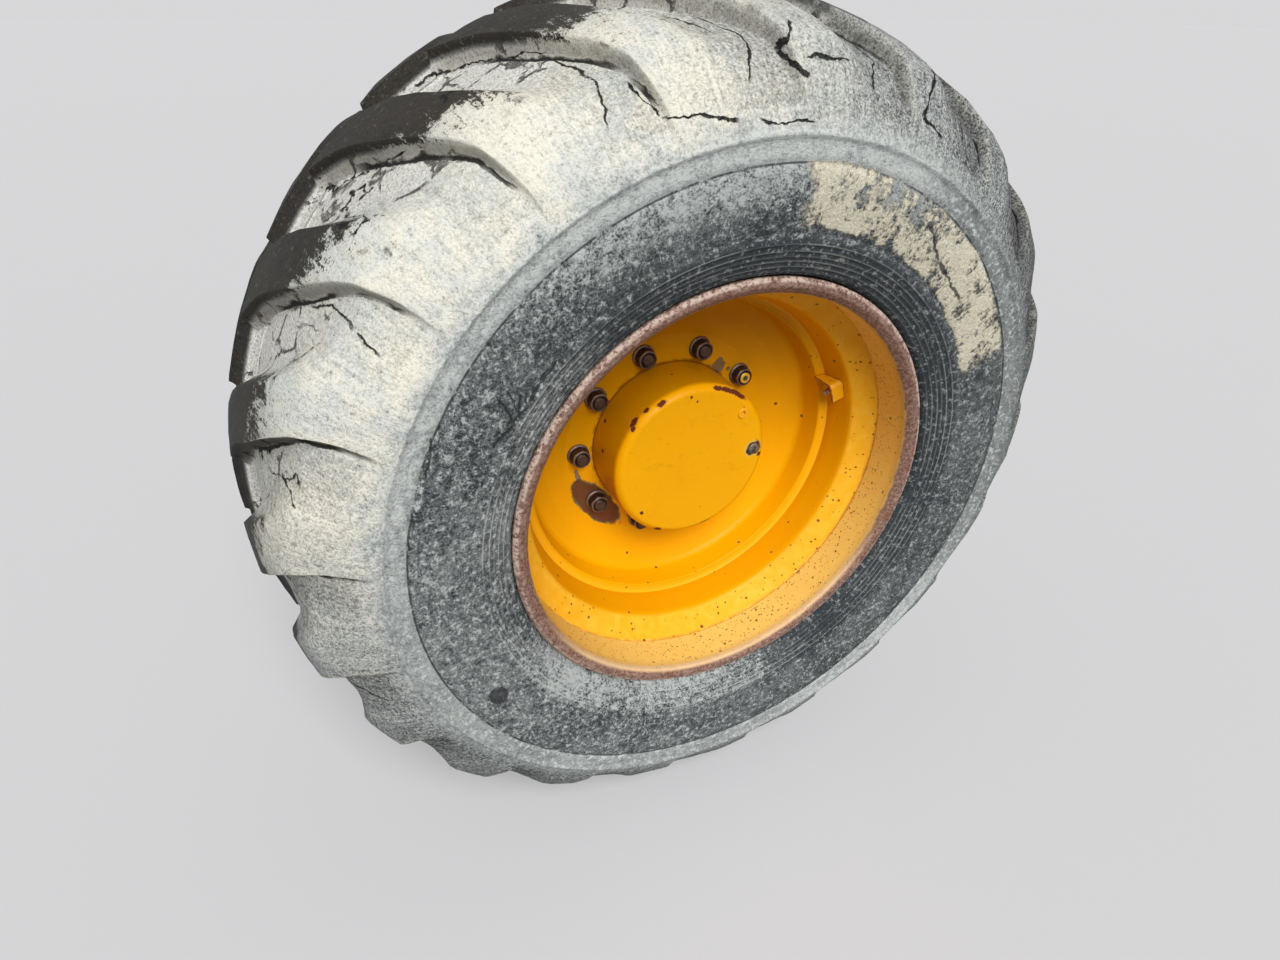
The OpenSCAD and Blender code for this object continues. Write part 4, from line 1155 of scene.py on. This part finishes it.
def tread_round(graph, given):
    """Turns the sector round the axle line, welds it, and wears dents into the tread."""
    index = graph.node("GeometryNodeInputIndex")
    points = graph.node("GeometryNodePoints", None, {"Count": given["Lugs"]})
    turn = graph.node("ShaderNodeCombineXYZ", None, {1: index * (-2 * math.pi) / given["Lugs"]})
    made = graph.node("GeometryNodeInstanceOnPoints", None, {
        "Points": points, "Instance": given["Geometry"], "Rotation": turn})
    made = graph.node("GeometryNodeStoreNamedAttribute", {"domain": "INSTANCE", "data_type": "FLOAT"}, {
        "Geometry": made, "Name": "lug", "Value": index})
    real = graph.node("GeometryNodeRealizeInstances", None, {"Geometry": made})
    welded = graph.node("GeometryNodeMergeByDistance", None, {"Geometry": real, "Distance": MERGE})
    place = graph.node("GeometryNodeInputPosition")
    normal = graph.node("GeometryNodeInputNormal")
    station = graph.node("GeometryNodeInputNamedAttribute", {"data_type": "FLOAT"}, {"Name": "station"})
    dents = graph.node("ShaderNodeTexNoise", {"noise_dimensions": "4D"}, {
        "Vector": place, "W": given["Seed"], "Scale": given["Wear size"], "Detail": 4.0, "Roughness": 0.62})
    worn = (dents - 0.78).both(0.0) * given["Wear"] * 2.0
    amount = worn * station.math("SUBTRACT", 1.2, clamp=True)
    offset = graph.node("ShaderNodeVectorMath", {"operation": "SCALE"}, {0: normal, "Scale": amount})
    moved = graph.node("GeometryNodeSetPosition", None, {"Geometry": welded, "Offset": offset})
    even = graph.node("GeometryNodeSetShadeSmooth", None, {"Geometry": moved})
    return finished(graph, even, given)


WEAR_SEED = 4.0


class WHEEL_OT_tyre(bpy.types.Operator):
    """Make the lugged tyre in place of the plain one"""
    bl_idname = "wheel.tyre"
    bl_label = "Tyre"

    def execute(self, context):
        settings = context.scene.wheel_tyre
        finish = rubber_finish(settings)
        mesh = grown("tyre_worn", tyre_sector(settings), tread_round, [
            ("Lugs", "NodeSocketInt", settings.lugs), ("Wear", "NodeSocketFloat", settings.wear),
            ("Wear size", "NodeSocketFloat", settings.wear_size), ("Seed", "NodeSocketFloat", WEAR_SEED),
            ("Finish", "NodeSocketMaterial", finish)])
        build = bmesh.new()
        build.from_mesh(mesh)
        if build.calc_volume(signed=True) < 0:
            bmesh.ops.reverse_faces(build, faces=build.faces)
        written(build, mesh)
        add_object("tyre_worn", mesh, finish, "wheel", "tyre_rubber", "tyre")
        return {"FINISHED"}


# The weld between rim and disc: overlapping blobs on a circle, a place inwards from the rim's face
WELD_BLOB = ((0, -0.0042), (0.0030, -0.0026), (0.0042, 0), (0.0030, 0.0026), (0, 0.0042))
WELD_BLOBS = 210
WELD_R = 0.2815
WELD_IN = 0.2065


class WHEEL_OT_steel(bpy.types.Operator):
    """Dress the rim, the disc and the hub cover"""
    bl_idname = "wheel.steel"
    bl_label = "Rim, disc and cover"

    def execute(self, context):
        settings = context.scene.wheel_paint
        dressed_copy("rim", rim_finish(settings), "wheel", "wheel_paint")
        dressed_copy("wheel_disc", disc_finish(settings), "wheel", "wheel_paint")
        dressed_copy("hub_cover", cover_finish(settings), "wheel", "wheel_paint")
        bead = lathe("weld_blob", WELD_BLOB, 8)
        weld = ring_of("rim_weld", bead, (WELD_BLOBS, 0.0, WELD_R, RIM_FACE + WELD_IN, disc_finish(settings)))
        smooth_sharp(weld, 60)
        add_object("rim_weld", weld, weld.materials[0], "wheel", "wheel_paint")
        return {"FINISHED"}


# Half the angle that one side of a hexagon takes up, and how far each nut is turned from the one before
HALF_SIDE = math.radians(30)
NUT_TURN = math.radians(17)


def nut_mesh(settings):
    """A chamfered hexagon nut with a bore, standing on its seat at place 0 and reaching outwards along -Y."""
    flat = settings.flats / 2
    tall = abs(STUD_END - DISC_FACE) - settings.washer_t - 0.0025
    bore = settings.stud_r + 0.0003

    def hexagon(radius, angle):
        if radius <= bore + 0.0021:
            return radius
        turn = (angle + HALF_SIDE) % (2 * HALF_SIDE) - HALF_SIDE
        return min(radius, flat / math.cos(turn) - 0.0006 * (abs(turn) / HALF_SIDE) ** 6)

    wide = flat / math.cos(HALF_SIDE) + 0.0002
    profile = [(bore, 0), (bore + 0.001, 0), (flat, 0), (wide - 0.0004, 0), (wide, -0.0008), (wide, -tall * 0.5),
               (wide, -tall + 0.0042), (wide - 0.0012, -tall + 0.0026), (flat + 0.0004, -tall + 0.0010),
               (flat - 0.0010, -tall + 0.0001), (bore + 0.0022, -tall), (bore + 0.0004, -tall + 0.0012),
               (bore, -tall + 0.0020), (bore, 0)]
    mesh = lathe("nut", profile, 72, (7, 8, 9), hexagon)
    smooth_sharp(mesh, 28)
    return mesh


def stud_mesh(settings):
    """A stud with its thread showing at the outer end, from its end at place 0 inwards along +Y."""
    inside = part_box("wheel_studs")[1].y - STUD_END
    crest, root = settings.stud_r, settings.stud_r - 0.0009
    profile = [(0, 0.0004), (root - 0.0042, 0.0002), (root - 0.0008, 0), (root, 0.0005)]
    place = 0.0008
    while place < 0.0100:
        profile += [(crest, place + settings.thread * 0.35), (root, place + settings.thread * 0.85)]
        place += settings.thread
    back = inside - 0.009
    profile += [(crest, place + 0.001), (crest, back), (crest + 0.005, back), (crest + 0.005, inside - 0.002),
                (crest + 0.003, inside), (0, inside)]
    mesh = lathe("stud", profile, 32)
    smooth_sharp(mesh, 40)
    return mesh


def washer_mesh(settings):
    """A conical washer, from its seat on the disc at place 0 outwards along -Y."""
    wide = settings.flats / 2 + 0.0045
    bore = settings.stud_r + 0.0003
    tall = settings.washer_t
    profile = [(bore, 0), (wide - 0.0003, 0), (wide, -0.0004), (wide, -tall + 0.0024),
               (wide - 0.0004, -tall + 0.0018), (wide - 0.0026, -tall + 0.0003), (wide - 0.0032, -tall),
               (bore, -tall), (bore, 0)]
    mesh = lathe("washer", profile, 48, (3, 4, 5))
    smooth_sharp(mesh, 30)
    return mesh


class WHEEL_OT_fasteners(bpy.types.Operator):
    """Make the wheel nuts, washers and studs"""
    bl_idname = "wheel.fasteners"
    bl_label = "Nuts, washers and studs"

    def execute(self, context):
        settings = context.scene.wheel_fasteners
        circle = (settings.studs, settings.clock, settings.circle_r)
        rows = (
            ("nuts_chamfered", nut_mesh(settings), DISC_FACE - settings.washer_t, NUT_TURN, "wheel_nuts",
             fastener_finish(settings, "nut_steel")),
            ("washers_conical", washer_mesh(settings), DISC_FACE, None, "nut_washers",
             fastener_finish(settings, "washer_steel")),
            ("studs_threaded", stud_mesh(settings), STUD_END, None, "wheel_studs",
             fastener_finish(settings, "stud_steel", painted=True)),
        )
        for name, mesh, place, spin, node, finish in rows:
            made = ring_of(name, mesh, circle + (place, finish), spin)
            add_object(name, made, finish, "wheel", "dark_steel", node)
        return {"FINISHED"}


class WHEEL_OT_valve(bpy.types.Operator):
    """Dress the valve and the plate over it"""
    bl_idname = "wheel.valve"
    bl_label = "Valve and guard"

    def execute(self, context):
        paint = context.scene.wheel_paint
        dressed_copy("valve_guard", guard_finish(paint), "wheel", "wheel_paint", 30, wear=0.004)
        steel = turned_steel_finish("valve_steel", shade(196, 194, 190), shade(128, 112, 98))
        dressed_copy("valve_stem", steel, "wheel", "machined_steel", 30)
        dressed_copy("cover_plugs", plug_finish(paint), "wheel", "machined_steel", 30, 0.0004)
        return {"FINISHED"}


class WHEEL_OT_axle_end(bpy.types.Operator):
    """Dress the arm, spindle, hub, seal and half shaft"""
    bl_idname = "wheel.axle_end"
    bl_label = "Axle end"

    def execute(self, context):
        iron = casting_finish("hub_iron", shade(84, 78, 74), shade(150, 138, 118), 0.35)
        arm = casting_finish("arm_paint", shade(58, 58, 60), shade(176, 166, 146), 0.85)
        bright = turned_steel_finish("spindle_steel", shade(176, 172, 166), shade(104, 84, 66))
        dressed_copy("axle_arm", arm, "axle_end", "arm_paint", 30, 0.0012)
        dressed_copy("hub", iron, "wheel", "hub_iron", 30, 0.0008)
        dressed_copy("spindle", bright, "axle_end", "machined_steel", 30, 0.0005)
        dressed_copy("spindle_nut", bright, "axle_end", "machined_steel", 30, 0.0005)
        dressed_copy("half_shaft", bright, "drive", "machined_steel", 25, 0.0003)
        dressed_copy("hub_seal", seal_finish(), "wheel", "seal_rubber", 30)
        bolts = fastener_finish(context.scene.wheel_fasteners, "bolt_steel")
        dressed_copy("spindle_bolts", bolts, "axle_end", "dark_steel", 30, 0.0008)
        return {"FINISHED"}


# Stage

# The camera's place and axes, fitted to the photograph, and the way that the key light shines
CAMERA_PLACE = Vector((-0.51617, RIM_FACE - 0.75231, 0.63399))
CAMERA_AXES = ((0.90700, 0.22539, -0.35572), (-0.42108, 0.49702, -0.75872), (0.00579, 0.83795, 0.54571))
KEY_WAY = Vector((0.16, 1.0, -1.0))
# Half the floor's width, its second colour, and the colour seen behind it
FAR = 90.0
FLOOR_CLOUD = (0.62, 0.62, 0.63)
BACKDROP = (0.681, 0.680, 0.691)
WHITE = (1.0, 1.0, 1.0)


def seen_directly(graph):
    """1 for what the eye sees, also in a shiny surface or through a clear one, and 0 for light on the wheel."""
    camera, glossy, through = (graph.node("ShaderNodeLightPath", None, None, kind) for kind in
                               ("Is Camera Ray", "Is Glossy Ray", "Is Transmission Ray"))
    return camera.either(glossy).either(through)


class WHEEL_OT_stage(bpy.types.Operator):
    """Make the floor, the lamp, the world and the camera"""
    bl_idname = "wheel.stage"
    bl_label = "Stage"

    def execute(self, context):
        settings = context.scene.wheel_stage
        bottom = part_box("tyre")[0].z
        mesh = bpy.data.meshes.new("floor")
        mesh.from_pydata([(-FAR, -FAR, bottom), (FAR, -FAR, bottom), (FAR, FAR, bottom), (-FAR, FAR, bottom)], [],
                         [(0, 1, 2, 3)])
        floor = placed("floor", mesh)
        pale = Finish("floor_pale")
        colour = pale.mix(pale.noise(1.4, 3) * 0.10, tuple(settings.floor), FLOOR_CLOUD)
        colour = pale.mix(seen_directly(pale), settings.bounce, colour)
        mesh.materials.append(pale.set(base_color=colour, roughness=0.85))

        world = bpy.data.worlds.new("studio")
        context.scene.world = world
        world.use_nodes = True
        tree = world.node_tree
        tree.nodes.clear()
        graph = Graph(tree)
        lit = graph.node("ShaderNodeBackground", None, {0: WHITE, 1: settings.sky})
        seen = graph.node("ShaderNodeBackground", None, {0: BACKDROP, 1: 1.0})
        mixed = graph.node("ShaderNodeMixShader", None, {0: seen_directly(graph), 1: lit, 2: seen})
        output = tree.nodes.new("ShaderNodeOutputWorld")
        tree.links.new(mixed.socket, output.inputs[0])

        sun = bpy.data.lights.new("key", "SUN")
        sun.energy = settings.lamp
        sun.angle = settings.softness
        placed("key", sun).rotation_euler = KEY_WAY.to_track_quat("-Z", "Y").to_euler()

        data = bpy.data.cameras.new("camera")
        data.sensor_width = 36.0
        data.lens = settings.lens
        camera = placed("camera", data)
        camera.matrix_world = Matrix.Translation(CAMERA_PLACE) @ Matrix(CAMERA_AXES).to_4x4()
        context.scene.camera = camera
        context.scene.view_settings.view_transform = "Standard"
        return {"FINISHED"}


class WHEEL_PT_panel(bpy.types.Panel):
    """Lists the pieces of the wheel"""
    bl_idname = "WHEEL_PT_panel"
    bl_label = "Dump Truck Wheel"
    bl_space_type = "VIEW_3D"
    bl_region_type = "UI"
    bl_category = "Wheel"

    def draw(self, context):
        for name in SETTINGS:
            group = getattr(context.scene, name)
            box = self.layout.box()
            for key in group.__annotations__:
                box.prop(group, key)
        for operator in OPERATORS:
            self.layout.operator(operator.bl_idname)


SETTINGS = {"wheel_tyre": TyreSettings, "wheel_paint": PaintSettings, "wheel_fasteners": FastenerSettings,
            "wheel_stage": StageSettings}
OPERATORS = (WHEEL_OT_stage, WHEEL_OT_tyre, WHEEL_OT_steel, WHEEL_OT_fasteners, WHEEL_OT_valve,
             WHEEL_OT_axle_end)


def register():
    for kind in tuple(SETTINGS.values()) + OPERATORS + (WHEEL_PT_panel,):
        bpy.utils.register_class(kind)
    for name, kind in SETTINGS.items():
        setattr(bpy.types.Scene, name, bpy.props.PointerProperty(type=kind))


def unregister():
    for name in SETTINGS:
        delattr(bpy.types.Scene, name)
    for kind in reversed(tuple(SETTINGS.values()) + OPERATORS + (WHEEL_PT_panel,)):
        bpy.utils.unregister_class(kind)


def main():
    register()
    bpy.ops.wheel.stage()
    bpy.ops.wheel.tyre()
    bpy.ops.wheel.steel()
    bpy.ops.wheel.fasteners()
    bpy.ops.wheel.valve()
    bpy.ops.wheel.axle_end()


if __name__ == "__main__":
    main()
